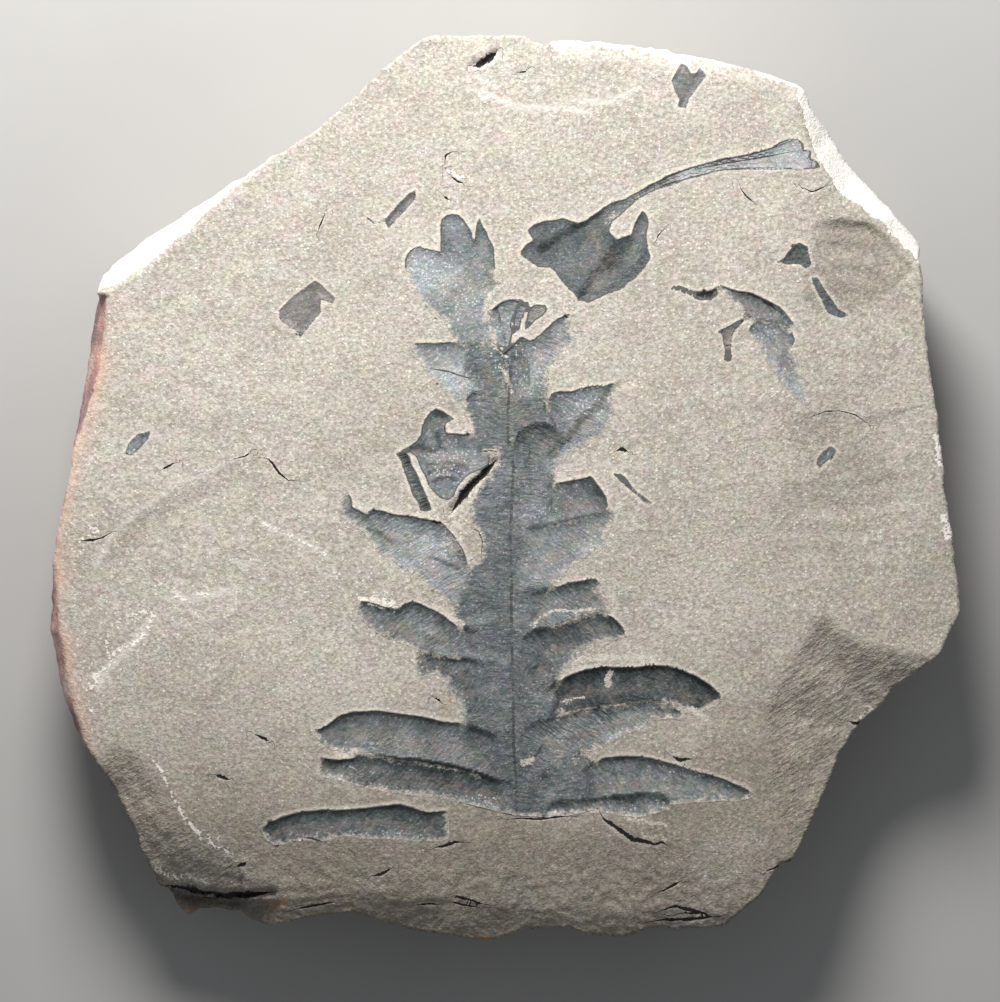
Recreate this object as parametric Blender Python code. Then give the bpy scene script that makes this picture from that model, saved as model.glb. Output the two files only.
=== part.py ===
"""Fossil seed-fern frond pressed on a slab of siltstone, lying flat with its leaf face up.

The stone is one closed body. Its upper face is a height field: a gently rolling bedding plane cut by
bevels, scars, steps, a crack and a sunken ledge, with a shallow pocket under every leaf film. Each leaf
film is a thin closed body in its pocket. A film's upper face follows the troughs that the leaf pressed
into the mud: steep below every upper margin, and rising gently to the lower margin.

Outlines are in millimetres, with +X right, +Y towards the frond's tip and +Z out of the leaf face.
"""
import math

import bmesh
import bpy
import numpy as np
from mathutils import Vector
from mathutils.geometry import delaunay_2d_cdt

MM = 0.001

# Slab
FACE_HEIGHT = 18.0
BEDDING_SWELL = 0.22
BEDDING_RIPPLE = 0.1
FOOT_RINGS = [
    # share of the rim's height, mean inset and ripple of the inset, in mm
    (0.80, 0.5, 0.6),
    (0.52, 0.3, 0.8),
    (0.30, 1.4, 0.9),
    (0.12, 2.0, 1.2),
    (0.00, 4.4, 1.6),
]

# Waves round the broken side: lobes per turn, height and how far each ring below shifts them.
SIDE_WAVES = [(5, 1.0, 9.0), (13, 0.6, 21.0), (29, 0.35, 5.0)]

# Leaf films
FILM_THICKNESS = 0.8
POCKET_GAP = 0.3
MARGIN_WALL = 0.45
FILM_SINK = 0.06
LOBE_EDGE = 0.03

# Triangulation
STONE_GRID = 8.4
STONE_CLEARANCE = 1.8
FILM_GRID = 3.8
FILM_CLEARANCE = 1.0
MERGE_DISTANCE = 0.1
WELD_DISTANCE = 0.06
HIDDEN_MARGIN = 0.05
CRUMB_AREA = 0.5
PINCH_ROUNDS = 4

# The slab's outer edge seen from above, clockwise from its top left corner.
SILHOUETTE = [
    (-10.4, 56.6), (-8, 56.9), (-4.2, 56.9), (-1.1, 56.9), (2.2, 56.8), (4.2, 56.1), (5.1, 55.5),
    (6.1, 56.5), (11.8, 56.2), (17, 55.6), (22.1, 54.8), (26.6, 53.9), (31.1, 52.8), (35, 51.5),
    (36.8, 50.8), (37.8, 49.9), (38.5, 48), (40, 46), (42, 43.4), (43.1, 41.5), (45, 39.2),
    (46.4, 37.9), (47.9, 35.9), (50, 33.6), (52.1, 31.2), (52.2, 27.8), (52.4, 23.6), (52.9, 18.2),
    (53.4, 14.8), (53.9, 11.1), (54.4, 8.1), (54.8, 4.4), (55.2, 0), (55.8, -3.8), (56.4, -7.9),
    (56.8, -11.8), (57, -15.2), (56, -17.8), (54.6, -20.5), (51.9, -22.9), (49.6, -24.5),
    (47.4, -27.4), (45.1, -29), (43.9, -30.9), (42.2, -33.4), (41.2, -35.8), (40.1, -38.5),
    (38.8, -41.2), (37.5, -43.9), (36.6, -45.9), (34.5, -47), (33.4, -48.8), (31.8, -51.1),
    (30.1, -52.8), (27.8, -54.8), (25.2, -55.2), (21.6, -55.4), (18.5, -55.1), (15.6, -56.2),
    (11.8, -56.4), (9.9, -56), (8.2, -55.1), (4.8, -55.2), (2.5, -55.4), (0.4, -56.2), (-1.9, -56.9),
    (-4, -56.8), (-6.4, -56.2), (-9.6, -55.9), (-13.1, -55.1), (-16, -54.2), (-19, -53.1),
    (-22.4, -53.4), (-24.9, -53.9), (-27, -54.4), (-29.5, -55.1), (-31.8, -54.5), (-33.8, -53.6),
    (-36.8, -53.1), (-38.8, -53.4), (-40.4, -54.5), (-41.5, -53), (-42.6, -51.4), (-43.8, -50.1),
    (-44.2, -48.6), (-45.4, -45.9), (-46.5, -43), (-47.6, -40.5), (-48.8, -38), (-50.1, -35.5),
    (-51.9, -33), (-53.2, -30.8), (-54.4, -28.2), (-55.2, -26), (-56, -23.2), (-56.6, -20.4),
    (-57, -17.5), (-56.9, -13.9), (-56.6, -9.8), (-56.1, -6.4), (-55.5, -3.2), (-54.9, -0.2),
    (-54.4, 2.5), (-53.8, 6.5), (-53.2, 11.2), (-52.5, 15.4), (-52, 19.6), (-51.4, 22.5),
    (-50.8, 25.2), (-50.4, 27), (-48.5, 28.9), (-45.8, 31.1), (-40.6, 34.5), (-36.2, 37.2),
    (-32.4, 39.5), (-27.6, 42.5), (-24, 44.8), (-19.2, 48.8), (-14.8, 52.9),
]

# Crests where the face breaks off, each followed by the corners that close its area outside the slab.
UPPER_LEFT_CREST = [
    (-50.8, 24.5), (-49, 25.1), (-45.1, 27.2), (-41.8, 30), (-39.2, 32.1), (-36.2, 35.1),
    (-33.4, 37.5), (-29.5, 40.6), (-26, 43), (-21.8, 46.2),
]
UPPER_RIGHT_CREST = [
    (36.1, 50.8), (36.5, 48.2), (38.2, 42.5), (39.8, 39.8), (41.5, 36.9), (47, 33.1), (49.5, 30.2),
    (51.8, 27.8),
]
TOP_CREST = [
    (6.5, 53.5), (12, 53.8), (18.2, 53), (21, 52), (24.5, 52.2), (29.5, 51.2), (33.9, 49.8),
    (36.5, 48.2),
]
LEFT_CREST = [
    (-49.4, 24.2), (-49.9, 19.6), (-50.5, 15.4), (-51.2, 12.6), (-52.4, 8.4), (-53.8, 4.8), (-54.5, 0),
    (-55.5, -5), (-56.1, -8.8), (-55.8, -10.9), (-55.5, -17.5), (-54.9, -19.6), (-54.4, -23.2),
    (-53.5, -27.4), (-52.6, -30.1), (-51.8, -32.8),
]
LOWER_RIGHT_CREST = [
    (54.6, -20.5), (49.6, -20), (45.5, -19), (42.6, -17.5), (40.4, -15.2),
]
LOWER_RIGHT_SOFT = [
    (40.4, -15.2), (38.1, -15.9), (35.6, -20.4), (33, -24.5), (31.6, -27.6), (31.8, -30.9),
    (32.4, -33.4), (32.4, -38.1), (35.8, -46.5),
]
LOWER_LEFT_CREST = [
    (-51.9, -33), (-49, -31.9), (-45.8, -32.4), (-43.5, -35.2), (-41.8, -36.9), (-41, -39.1),
    (-39.9, -41.4), (-38.8, -42.8), (-37, -44.1), (-35.1, -45.2), (-32.9, -46.4),
]
BOTTOM_CREST = [
    (-32.9, -46.4), (-30.2, -49.4), (-26.8, -50.6), (-21.8, -50.2), (-15.5, -50), (-9.2, -50.6),
    (-3, -51), (3.2, -51.9), (9.5, -52.2), (17, -52.8), (19.5, -51.9), (24.5, -53.1), (30.1, -52.8),
]

# The sunken ledge at the lower left: the lip above its dark crevice.
CREVICE_LIP = [
    (-43.8, -50.1), (-40.8, -50.5), (-37.2, -51), (-34.9, -51.4), (-32.4, -51.4), (-29.2, -51.5),
]

# Upper edges of the shallow scars in the face.
RIGHT_FLAKE = [
    (38.2, 33), (40.1, 33.8), (42.6, 33.9), (46, 33.4), (48.2, 31.2), (51, 28.1),
]
RIGHT_STEP = [
    (34.2, 8.2), (38.5, 9.8), (42, 9.9), (44.1, 8.8), (48.2, 9.8), (53.9, 11.2),
]
RIGHT_HOLLOW = [
    (33.2, 1.5), (38.2, 1), (43.2, 1), (48.2, 2), (53.2, 2.5),
]
LEFT_STEP = [
    (-50.8, -6.9), (-49, -5.2), (-45.1, -1.4), (-41.2, 0.6), (-37.9, 2.5), (-33.8, 3.8), (-30.2, 4),
]

# Two open cracks.
MAIN_CRACK = [
    (12.1, -40.9), (13, -41.5), (14.4, -42.2), (15.8, -43.2), (17.4, -43.8), (18.4, -44.5),
]
TOP_CREVICE = [
    (-3.5, 53), (-2.5, 53.5), (-1.5, 54.2), (-0.6, 55.2),
]

# Every broken margin: its crests with their slope and soft stretch in mm, then the outside corners.
BEVELS = [
    ([(UPPER_LEFT_CREST, 1.0, 0.3)], [(-22.0, 54.0), (-56.0, 34.0), (-56.0, 24.0)]),
    ([(UPPER_RIGHT_CREST, 0.9, 0.3)], [(60.0, 28.0), (60.0, 56.0), (36.0, 56.0)]),
    ([(TOP_CREST, 0.6, 0.8)], [(40.0, 58.0), (5.0, 58.0)]),
    ([(LEFT_CREST, 2.2, 0.3)], [(-62.0, -34.0), (-62.0, 26.0)]),
    ([(LOWER_RIGHT_CREST, 0.5, 0.3), (LOWER_RIGHT_SOFT, 0.36, 3.0)], [(60.0, -60.0), (62.0, -20.0)]),
    ([(LOWER_LEFT_CREST, 0.55, 0.6)], [(-33.0, -60.0), (-60.0, -60.0), (-60.0, -34.0)]),
    ([(BOTTOM_CREST, 0.75, 1.2)], [(31.0, -60.0), (-33.0, -60.0)]),
]

# Every scar: its upper edge, its depth, how fast it drops and how far it reaches, in mm.
SCARS = [
    (RIGHT_FLAKE, 1.3, 1.5, 8.0),
    (RIGHT_STEP, 0.4, 1.0, 5.0),
    (RIGHT_HOLLOW, 0.7, 3.0, 9.0),
    (LEFT_STEP, 0.5, 1.0, 8.0),
]
SCAR_END_FADE = 4.0

# The sunken ledge, in mm: its drop, its groove and where it ends.
LEDGE_DROP = 3.0
LEDGE_END = -28.0
LEDGE_FADE = 6.0
CREVICE_EDGE = 0.02
CREVICE_WALL = 0.3
CREVICE_DEPTH = 2.0
CREVICE_WIDTH = 1.3

# Every crack: its line, half its width and its depth, in mm.
CRACKS = [
    (MAIN_CRACK, 0.4, 1.0),
    (TOP_CREVICE, 0.6, 1.6),
]

# The least inset of the slab's lower rings, so that nothing overhangs its outline.
SIDE_LEAST_INSET = 0.1

# Depth of the troughs, in mm.
SHALLOW_LOBE = 0.3
LOBE_DEPTHS = {
    "left_3": 0.6, "left_4": 0.65, "left_5": 0.85, "left_6": 0.85,
    "right_1": 0.5, "right_2": 0.45, "right_3": 0.5, "right_4": 0.55, "right_5": 0.65,
    "right_6": 0.9, "right_7": 0.75, "right_8": 0.85, "right_9": 0.6,
    "detached": 0.9, "fold": 0.5, "upper": 0.7, "pinnule": 0.6, "stem": 0.4, "left_flap": 0.4,
}
SCRAP_SINK = 0.2
RACHIS_DEPTH = 0.25
RACHIS_WIDTH = 0.5

# Each lobe is a crisp upper margin and a soft lower margin, both from its base to its tip.
# Where two lobes overlap, the later one lies over the earlier.
FROND_LOBES = {
    "crown": (
        [
            (-12.4, 27.2), (-12.4, 28.8), (-12, 29.6), (-11.4, 30.2), (-10.5, 30.5), (-9.6, 30.2),
            (-8.8, 30), (-7.9, 29.8), (-8, 31.4), (-8, 32.8), (-7.8, 33.8), (-7.2, 34.4), (-6.5, 34.6),
            (-5.6, 34.4), (-4.9, 33.8), (-4.4, 33), (-4, 32), (-3.8, 31.1), (-3.6, 32.2), (-3.4, 33.2),
            (-3, 34), (-2.8, 33.2), (-2.2, 32.4), (-1.9, 31.5), (-1.4, 30.5), (-1.1, 29.2),
            (-1.1, 27.2),
        ],
        [
            (-12.4, 27.2), (-12.2, 26.4), (-11.6, 25.4), (-10.9, 24.2), (-10, 23.4), (-9.1, 22.1),
            (-8.2, 21.2), (-7.2, 20.9), (-7, 20.1), (-6.1, 19.2), (-5.6, 18.2), (-1.2, 18.2),
            (-1.6, 19.9), (-2, 21.5), (-2.1, 22.6), (-1.8, 24.2), (-0.9, 25), (0.2, 25.5), (0, 26),
            (-0.9, 26.2), (-1.1, 27.2),
        ],
    ),
    "blade": (
        [
            (-5, 18.1), (-3.5, 18.8), (-1.2, 18.5), (-0.1, 17.2), (1, 18.2), (2.2, 19.2), (4.5, 18),
        ],
        [
            (-5, 18.1), (-5.5, 15), (-5.2, 11.2), (-4.5, 8.8), (-3.8, 7), (-3, 5), (-1.4, 3),
            (-2.8, 1), (-3.8, -0.8), (-4.4, -2.8), (-4.5, -4.5), (-3.2, -5.2), (-2.8, -6.4),
            (-2.8, -8.4), (-4.2, -9.6), (-6.4, -12.5), (-6.5, -14.5), (-5.4, -17.2), (-6.1, -21.2),
            (-7, -25), (-5.5, -26.6), (-5.1, -29), (-4.2, -34), (-2.8, -39), (-0.5, -40.2), (2, -40.8),
            (5.1, -41), (8.9, -40.6), (13.5, -39.1), (13.5, -34.2), (10.8, -32.8), (8.5, -31.8),
            (6.8, -28.8), (7.2, -26.2), (6.6, -25), (7, -23.2), (6.8, -21.2), (6.5, -18.2), (6, -15.2),
            (5.8, -12.5), (6.5, -10.9), (6.1, -8.8), (5.6, -5), (6.1, -1.2), (6.4, 1), (6.5, 2),
            (5.9, 3.5), (6.1, 6.2), (6.5, 7.8), (5.6, 10), (5.4, 11.8), (5.4, 14), (5.1, 16.2),
            (4.5, 18),
        ],
    ),
    "right_tip_1": (
        [
            (-1.4, 21), (-1, 22.6), (-0.4, 23.4), (0.8, 23.8), (2, 23.8), (3, 23.5),
        ],
        [
            (-1.4, 21), (-1.2, 19.2), (-0.6, 17.6), (1.1, 17.5), (1.6, 19.6), (2.6, 20.2), (3, 21.8),
            (3.1, 22.8), (3, 23.5),
        ],
    ),
    "brown_fold": (
        [
            (2.6, 21.9), (3.5, 22.9), (4.4, 23.2), (5.4, 23.2),
        ],
        [
            (2.6, 21.9), (3.2, 20.9), (3.9, 20.9), (4.6, 21.6), (5.2, 22.2), (5.6, 22.9), (5.4, 23.2),
        ],
    ),
    "right_tip_2": (
        [
            (0.9, 17.2), (1.2, 18.4), (2.2, 19.2), (3.8, 19.9), (5.1, 20.2), (6.2, 20.9), (7.2, 21.5),
            (8.5, 21.9),
        ],
        [
            (0.9, 17.2), (0.8, 11.2), (3.2, 10.8), (5.1, 11.2), (5.5, 12.9), (5.4, 15), (6, 16.4),
            (6.9, 17.6), (7.2, 18.6), (7.6, 19.8), (8.2, 20.8), (8.5, 21.9),
        ],
    ),
    "left_1": (
        [
            (-3.2, 17.2), (-4.8, 18.2), (-6.9, 18.5), (-9, 18.4), (-11.5, 18.4),
        ],
        [
            (-3.2, 17.2), (-1.8, 12), (-3.5, 12), (-5.2, 10.9), (-6.4, 11.6), (-7.2, 12.6),
            (-8.2, 13.4), (-9.5, 14.2), (-10.1, 15.5), (-10.4, 16.2), (-11, 16.5), (-11.4, 17.5),
            (-11.5, 18.4),
        ],
    ),
    "left_2": (
        [
            (-2.8, 6.2), (-3.8, 7.5), (-5.5, 7.6), (-6.1, 7.1), (-7, 6.9), (-7.5, 7.4), (-7.5, 8.1),
            (-7, 8.8), (-6.1, 9), (-6.8, 9.5), (-7.6, 9.9), (-8.5, 10.2), (-9.2, 9.9), (-9.8, 9),
        ],
        [
            (-2.8, 6.2), (-2.8, 3.8), (-3.6, 2.4), (-4.9, 1.4), (-5.9, 0.4), (-6.4, -0.9),
            (-7.4, -1.6), (-8.4, -1.2), (-9.1, 0.4), (-10, 1.8), (-10.8, 3.2), (-11.8, 4.6),
            (-13.2, 4.9), (-12.1, 5.5), (-11.2, 6.1), (-10.5, 6.6), (-10.2, 7.6), (-9.8, 9),
        ],
    ),
    "left_2_strip": (
        [
            (-8.9, -2.9), (-9, -1.9), (-9.6, -0.9), (-10.6, 1.6), (-11.8, 3.9), (-12.6, 5),
            (-13.5, 4.6),
        ],
        [
            (-8.9, -2.9), (-9.8, -2.9), (-10.6, -2.2), (-11.5, -0.4), (-12.1, 1), (-12.8, 2.9),
            (-13.5, 4.6),
        ],
    ),
    "left_3": (
        [
            (-3.2, -10), (-4.5, -9.2), (-5.1, -7.5), (-6.4, -5.4), (-7.6, -4.2), (-9.1, -3.6),
            (-11.8, -3.2), (-13.4, -3), (-15.1, -2.5), (-16.6, -2.5), (-17, -3.1), (-18, -2.6),
            (-18.9, -2.1), (-19.1, -0.9), (-19.6, -0.1),
        ],
        [
            (-3.2, -10), (-4.8, -13.8), (-6.5, -14.5), (-8, -13), (-9.2, -12.4), (-10.6, -11.1),
            (-11.9, -10), (-13.1, -9.5), (-14.1, -8.6), (-15.1, -8.4), (-16, -7.5), (-16.9, -6.1),
            (-17.8, -5), (-18.9, -4.6), (-19.9, -3.8), (-20.5, -2.2), (-20.4, -1), (-19.6, -0.1),
        ],
    ),
    "left_4_under": (
        [
            (-1.5, -22.2), (-4.8, -21.2), (-8.2, -20.9), (-10.9, -20),
        ],
        [
            (-1.5, -22.2), (-1.8, -29.2), (-5.1, -29), (-5.5, -26.6), (-7, -25), (-7.2, -23.8),
            (-8.4, -22.9), (-9.1, -23.2), (-9.8, -24), (-10.6, -23.2), (-11.1, -21.5), (-10.9, -20),
        ],
    ),
    "left_4": (
        [
            (-2.2, -18.8), (-3.5, -17.5), (-5.4, -17.2), (-7.2, -15.9), (-8.8, -14.9), (-10.5, -14.1),
            (-11.6, -13.9), (-12.9, -14.4), (-13.1, -14.9), (-14.2, -14.6), (-15.5, -14.4),
            (-16.8, -14), (-18.4, -13.8),
        ],
        [
            (-2.2, -18.8), (-1.5, -22.2), (-4.8, -21.2), (-6.2, -21.2), (-8.2, -20.9), (-10.9, -20),
            (-14, -18.8), (-15.4, -18.1), (-16.1, -17.8), (-17, -16.9), (-17.9, -15.9), (-18.4, -14.9),
            (-18.4, -13.8),
        ],
    ),
    "left_5": (
        [
            (0.5, -32.5), (-1.5, -30.5), (-3.8, -29.6), (-5.1, -29), (-7, -28.9), (-9.1, -28.5),
            (-11.1, -28.1), (-13, -27.9), (-15.9, -27.5), (-17.9, -27.5), (-19.4, -27.8),
            (-20.5, -28.1), (-21.6, -28.9), (-23, -29.8), (-25.1, -30),
        ],
        [
            (0.5, -32.5), (1, -37.5), (-3.9, -35.1), (-8.5, -34), (-13.1, -33.5), (-15.5, -33.1),
            (-17.9, -32.8), (-19.2, -32.9), (-21.6, -32.5), (-22.4, -32), (-23.4, -31), (-24, -30.1),
            (-25.1, -30),
        ],
    ),
    "left_6": (
        [
            (1.5, -37.5), (0.8, -36.6), (-1.5, -35.9), (-3.9, -35.1), (-6.2, -34.4), (-8.5, -34),
            (-10.9, -33.6), (-13.1, -33.5), (-15.5, -33.1), (-17.9, -32.8), (-18.8, -33.4),
            (-20.9, -33.6), (-23.1, -33.4),
        ],
        [
            (1.5, -37.5), (1.5, -40.8), (-1.5, -40), (-4.8, -39.4), (-6.6, -38.6), (-10.9, -38.2),
            (-14.4, -37.8), (-17.4, -37.2), (-19.2, -36.6), (-21.8, -36.1), (-23.4, -35.6),
            (-23.4, -34.8), (-23.1, -33.4),
        ],
    ),
    "right_1": (
        [
            (4.8, 8.8), (5.2, 11), (5.8, 12), (7, 12.4), (8.5, 12.4), (9.4, 12.8), (10.4, 13),
            (11.6, 13.2), (12.4, 13), (13.4, 13.4), (14.4, 13.6),
        ],
        [
            (4.8, 8.8), (4.2, 2), (6, 1.5), (6.5, 2), (7, 3.2), (7.9, 4.2), (9.4, 5.1), (10.8, 5.9),
            (12.1, 6.5), (13, 7.4), (13.4, 8.9), (13.8, 10.2), (13.6, 11.5), (13.9, 12.8),
            (14.4, 13.6),
        ],
    ),
    "right_0": (
        [
            (1.2, 3.5), (1.4, 5.8), (1.9, 7), (2.8, 7.8), (4, 8.2), (5.2, 8.2), (6.8, 7.4),
        ],
        [
            (1.2, 3.5), (1.5, 0.8), (3.9, 2.2), (5.9, 4.1), (6.9, 5.4), (7.5, 6.4), (6.8, 7.4),
        ],
    ),
    "right_2": (
        [
            (4.5, -0.2), (6.4, 1), (7.6, 1.1), (9, 1.4), (10.9, 1.8), (11.4, 1.1), (12.1, 0.2),
            (12.8, -1), (13, -2.5),
        ],
        [
            (4.5, -0.2), (4, -5), (5.5, -4.2), (6.9, -3.9), (9, -3.5), (10.8, -3), (12.4, -2.8),
            (13, -2.5),
        ],
    ),
    "right_3": (
        [
            (1.2, -5.8), (2, -4.9), (4, -4.6), (5.5, -4.2), (6.9, -3.9), (9, -3.5), (10.8, -3),
            (12.4, -2.8), (14, -2.5),
        ],
        [
            (1.2, -5.8), (1.5, -12.8), (4.5, -12.2), (6, -11.8), (6.8, -10.9), (7.9, -10), (9.4, -9),
            (10.4, -8.2), (11.6, -7.4), (12.9, -7), (12.6, -5.9), (13.2, -4.4), (13.6, -3.4),
            (14, -2.5),
        ],
    ),
    "right_4": (
        [
            (2, -13.8), (4, -12.8), (5.9, -12.1), (7.2, -11.8), (8.6, -11.4), (10.4, -11.1),
            (12, -11.1),
        ],
        [
            (2, -13.8), (1.5, -19.2), (3.9, -17.6), (5.6, -17.4), (7.2, -16.8), (8.8, -16.2),
            (10.1, -15.6), (11.5, -15.2), (12.6, -15.4), (13.8, -14.8), (13, -13.8), (12.2, -12.4),
            (12, -11.1),
        ],
    ),
    "right_5": (
        [
            (1.5, -20), (2.8, -18.2), (3.9, -17.4), (5.6, -17.2), (7.2, -16.6), (8.8, -16.1),
            (10.1, -15.5), (11.5, -15.1), (12.6, -15.2), (13.8, -15.9), (14.8, -17), (15.4, -18.4),
        ],
        [
            (1.5, -20), (1.8, -26.2), (5.5, -24.2), (7.2, -22.9), (7.8, -22), (8.5, -21.1),
            (9.5, -20.1), (10.8, -19.5), (12.1, -19.1), (14, -18.8), (15.4, -18.4),
        ],
    ),
    "right_6": (
        [
            (5.2, -25.5), (6.5, -23.8), (8.4, -23), (10.1, -22.4), (12.1, -22.1), (14.4, -22.1),
            (16.2, -22.2), (18, -21.9), (19.1, -21.8), (20.6, -21.9), (22.2, -22.4), (23.9, -23.1),
            (25.1, -23.9), (26.2, -24.6), (27, -25.5), (27.1, -26.5),
        ],
        [
            (5.2, -25.5), (5.5, -26.8), (7, -25.9), (8.6, -25.5), (10.2, -26.2), (12.6, -26.5),
            (15.1, -26.2), (18, -26.1), (20, -26.1), (22, -26.9), (23.2, -27.8), (24.8, -27.8),
            (26.2, -27.2), (27.1, -26.5),
        ],
    ),
    "right_7": (
        [
            (1.8, -32.8), (2.2, -30.2), (4.1, -28.9), (5.9, -28.5), (7.6, -27.9), (9.5, -27.4),
            (11.8, -27), (14, -26.8), (16.2, -26.4), (18, -26.2), (19.4, -26.5), (20.6, -26.9),
            (22.9, -27.9),
        ],
        [
            (1.8, -32.8), (2, -37.5), (5.1, -35.2), (7.8, -33.8), (10, -32.8), (11.8, -32.5),
            (12.6, -32.1), (13.8, -31.4), (15.2, -30.5), (16.9, -29.9), (18.4, -29), (20.6, -28.6),
            (22, -28.8), (22.9, -27.9),
        ],
    ),
    "right_8": (
        [
            (11.8, -35.8), (11.8, -33.8), (12.6, -33.4), (14.4, -33.2), (16.2, -33.2), (18.4, -33.5),
            (20.6, -34), (22.9, -34.8), (25.1, -35.4), (27.4, -36), (29.6, -36.9), (30.8, -37.6),
            (31.4, -38.2),
        ],
        [
            (11.8, -35.8), (11.5, -38.8), (14.5, -38.5), (17.1, -38.4), (20.1, -38.9), (23.2, -39.1),
            (27.4, -38.9), (30.1, -38.8), (31.4, -38.2),
        ],
    ),
    "right_9": (
        [
            (4.2, -39.8), (6.5, -39), (8.8, -38.8), (10.8, -38.6), (12.1, -38.5), (14, -38.2),
            (15.8, -38.1), (17.1, -37.9), (18.4, -37.9), (19.8, -38.1), (20.5, -38.9), (21.1, -39.8),
        ],
        [
            (4.2, -39.8), (5.1, -41), (8.9, -40.6), (11, -39.8), (12.4, -39.6), (14.2, -40.4),
            (16.5, -41), (19, -40.5), (21.1, -39.8),
        ],
    ),
}

STALKED_LOBES = {
    "left_flap": (
        [
            (8, 28.2), (10.2, 30.5), (13, 34.2), (12.5, 35.8), (11.2, 35.1), (10.4, 34.5), (9.5, 33.9),
            (8.6, 33.6), (7.9, 34.1), (6.8, 34.1), (5.8, 33.8), (4.5, 33.6), (3.5, 33.2), (3, 32.5),
            (3.6, 31.9), (3.6, 31.2), (2.9, 30.6), (2.1, 29.8), (1.4, 28.8),
        ],
        [
            (8, 28.2), (7, 27.2), (6, 27.6), (5.1, 27.9), (3.9, 27.9), (3, 28.4), (1.4, 28.8),
        ],
    ),
    "stem": (
        [
            (12.5, 35.5), (13.2, 36.2), (14.2, 36.6), (15.5, 37.1), (16.8, 37.5), (17.6, 37.9),
            (18.5, 38.4), (19.5, 39), (20.5, 39.5), (22, 40), (23.2, 40.5), (24.5, 40.8), (26, 41.1),
            (27.6, 41.5), (29.2, 41.8), (30.8, 42.1), (32.2, 42.5), (33.5, 42.9), (34.5, 43.5),
            (35.8, 43.9), (37, 44), (37.9, 42.9), (38.5, 42.1), (39, 40.9), (39.6, 40.2),
        ],
        [
            (12.5, 35.5), (14.2, 34.5), (15.5, 35.6), (16.5, 36), (17.4, 36.6), (18.2, 37.2),
            (19.2, 37.4), (20.1, 37.8), (21.4, 38.2), (23, 38.8), (24.5, 39.1), (26, 39.6),
            (27.6, 39.9), (29.5, 40), (31.4, 40.2), (33.2, 40.1), (35.1, 40), (37, 40), (39.6, 40.2),
        ],
    ),
    "blade": (
        [
            (6.5, 28.5), (9.2, 31.2), (12, 34.8), (13.5, 35.8), (14.5, 34.8), (13.8, 33.5),
            (13.2, 32.4), (13.6, 31.8), (14.5, 31.9), (15.4, 32.4), (15.9, 33), (16.5, 34), (17, 34.8),
            (17.6, 35), (18.1, 34.5), (18.2, 33.5),
        ],
        [
            (6.5, 28.5), (7, 26.5), (7.6, 25.4), (8.2, 24.5), (8.9, 23.9), (9.9, 23.6), (10.8, 23.4),
            (11.6, 23.8), (12.4, 24.2), (13.5, 24.6), (14.8, 25), (15.8, 25.8), (17, 27.5),
            (17.8, 28.5), (18.4, 29.2), (18.1, 31.2), (18.2, 33.5),
        ],
    ),
}

TORN_LOBES = {
    "fold": (
        [
            (20.9, 25), (21, 25.5), (21.6, 25.6), (22.5, 25.4), (23.5, 25), (24.5, 24.9), (25.8, 25),
            (26.5, 25.5), (27, 25.8), (27.6, 25.5),
        ],
        [
            (20.9, 25), (21.6, 24.9), (22.6, 24.5), (23.5, 24.1), (24.4, 23.6), (25.8, 23.6),
            (26.5, 24.1), (27.1, 24.8), (27.6, 25.5),
        ],
    ),
    "upper": (
        [
            (26.8, 25.2), (27, 25.8), (27.9, 25.4), (29.1, 25), (30.8, 24.8), (32.1, 24.2),
            (33.2, 23.6), (34.5, 22.9), (35.2, 22.1), (36.5, 20.6),
        ],
        [
            (26.8, 25.2), (27.5, 24.5), (28.2, 23.8), (29.1, 22.8), (29.9, 21.9), (30.6, 21.2),
            (32, 20.9), (33.5, 20.6), (34.6, 20.4), (35.5, 20), (36.5, 20.6),
        ],
    ),
    "stub": (
        [
            (26.5, 19.6), (27.2, 20.1), (28.2, 20.6), (29.2, 21.2), (30.1, 22.1),
        ],
        [
            (26.5, 19.6), (27.2, 19.5), (27.4, 18.2), (27.6, 17.5), (27.4, 16.2), (28.1, 16),
            (28.5, 16.2), (28.4, 17.5), (28.4, 18.5), (28.6, 19.5), (29.1, 20.2), (30.6, 21.5),
            (30.1, 22.1),
        ],
    ),
    "pinnule": (
        [
            (30.5, 19.6), (30.8, 20.6), (31.2, 21.2), (32.1, 21.4), (33.2, 21.1), (34.4, 21.1),
            (35.2, 20.6), (36, 19.8), (36.4, 18.8), (35.9, 17.5),
        ],
        [
            (30.5, 19.6), (31, 18.9), (31.9, 18), (32.4, 17.1), (32.8, 16.2), (33.4, 15.2),
            (34.1, 14.1), (35, 13.1), (35.9, 12.2), (36.8, 11.2), (37.5, 10.4), (38.4, 10),
            (38.4, 10.9), (37.9, 11.9), (37.8, 12.9), (37.2, 14.1), (36.9, 15.2), (36.4, 16.4),
            (35.9, 17.5),
        ],
    ),
}

DETACHED_LOBES = {
    "detached": (
        [
            (-7, -40.6), (-7.1, -40.1), (-8.4, -40.2), (-10, -40.1), (-11.8, -39.4), (-13.1, -39.1),
            (-15, -39.4), (-16.6, -39.6), (-19.5, -39.8), (-20.9, -40), (-22.5, -39.9), (-24.8, -40),
            (-26.4, -40.4), (-28, -40.8), (-29.4, -41.5), (-30.4, -42.4),
        ],
        [
            (-7, -40.6), (-6.9, -42.2), (-6.8, -43.5), (-8, -44), (-10.9, -43.9), (-14.4, -43.6),
            (-17.9, -43.5), (-19.9, -43.2), (-22.8, -44), (-25, -43.8), (-26.4, -43.8), (-27.4, -44.4),
            (-28.8, -44.5), (-30, -43.6), (-30.4, -42.4),
        ],
    ),
}

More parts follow.
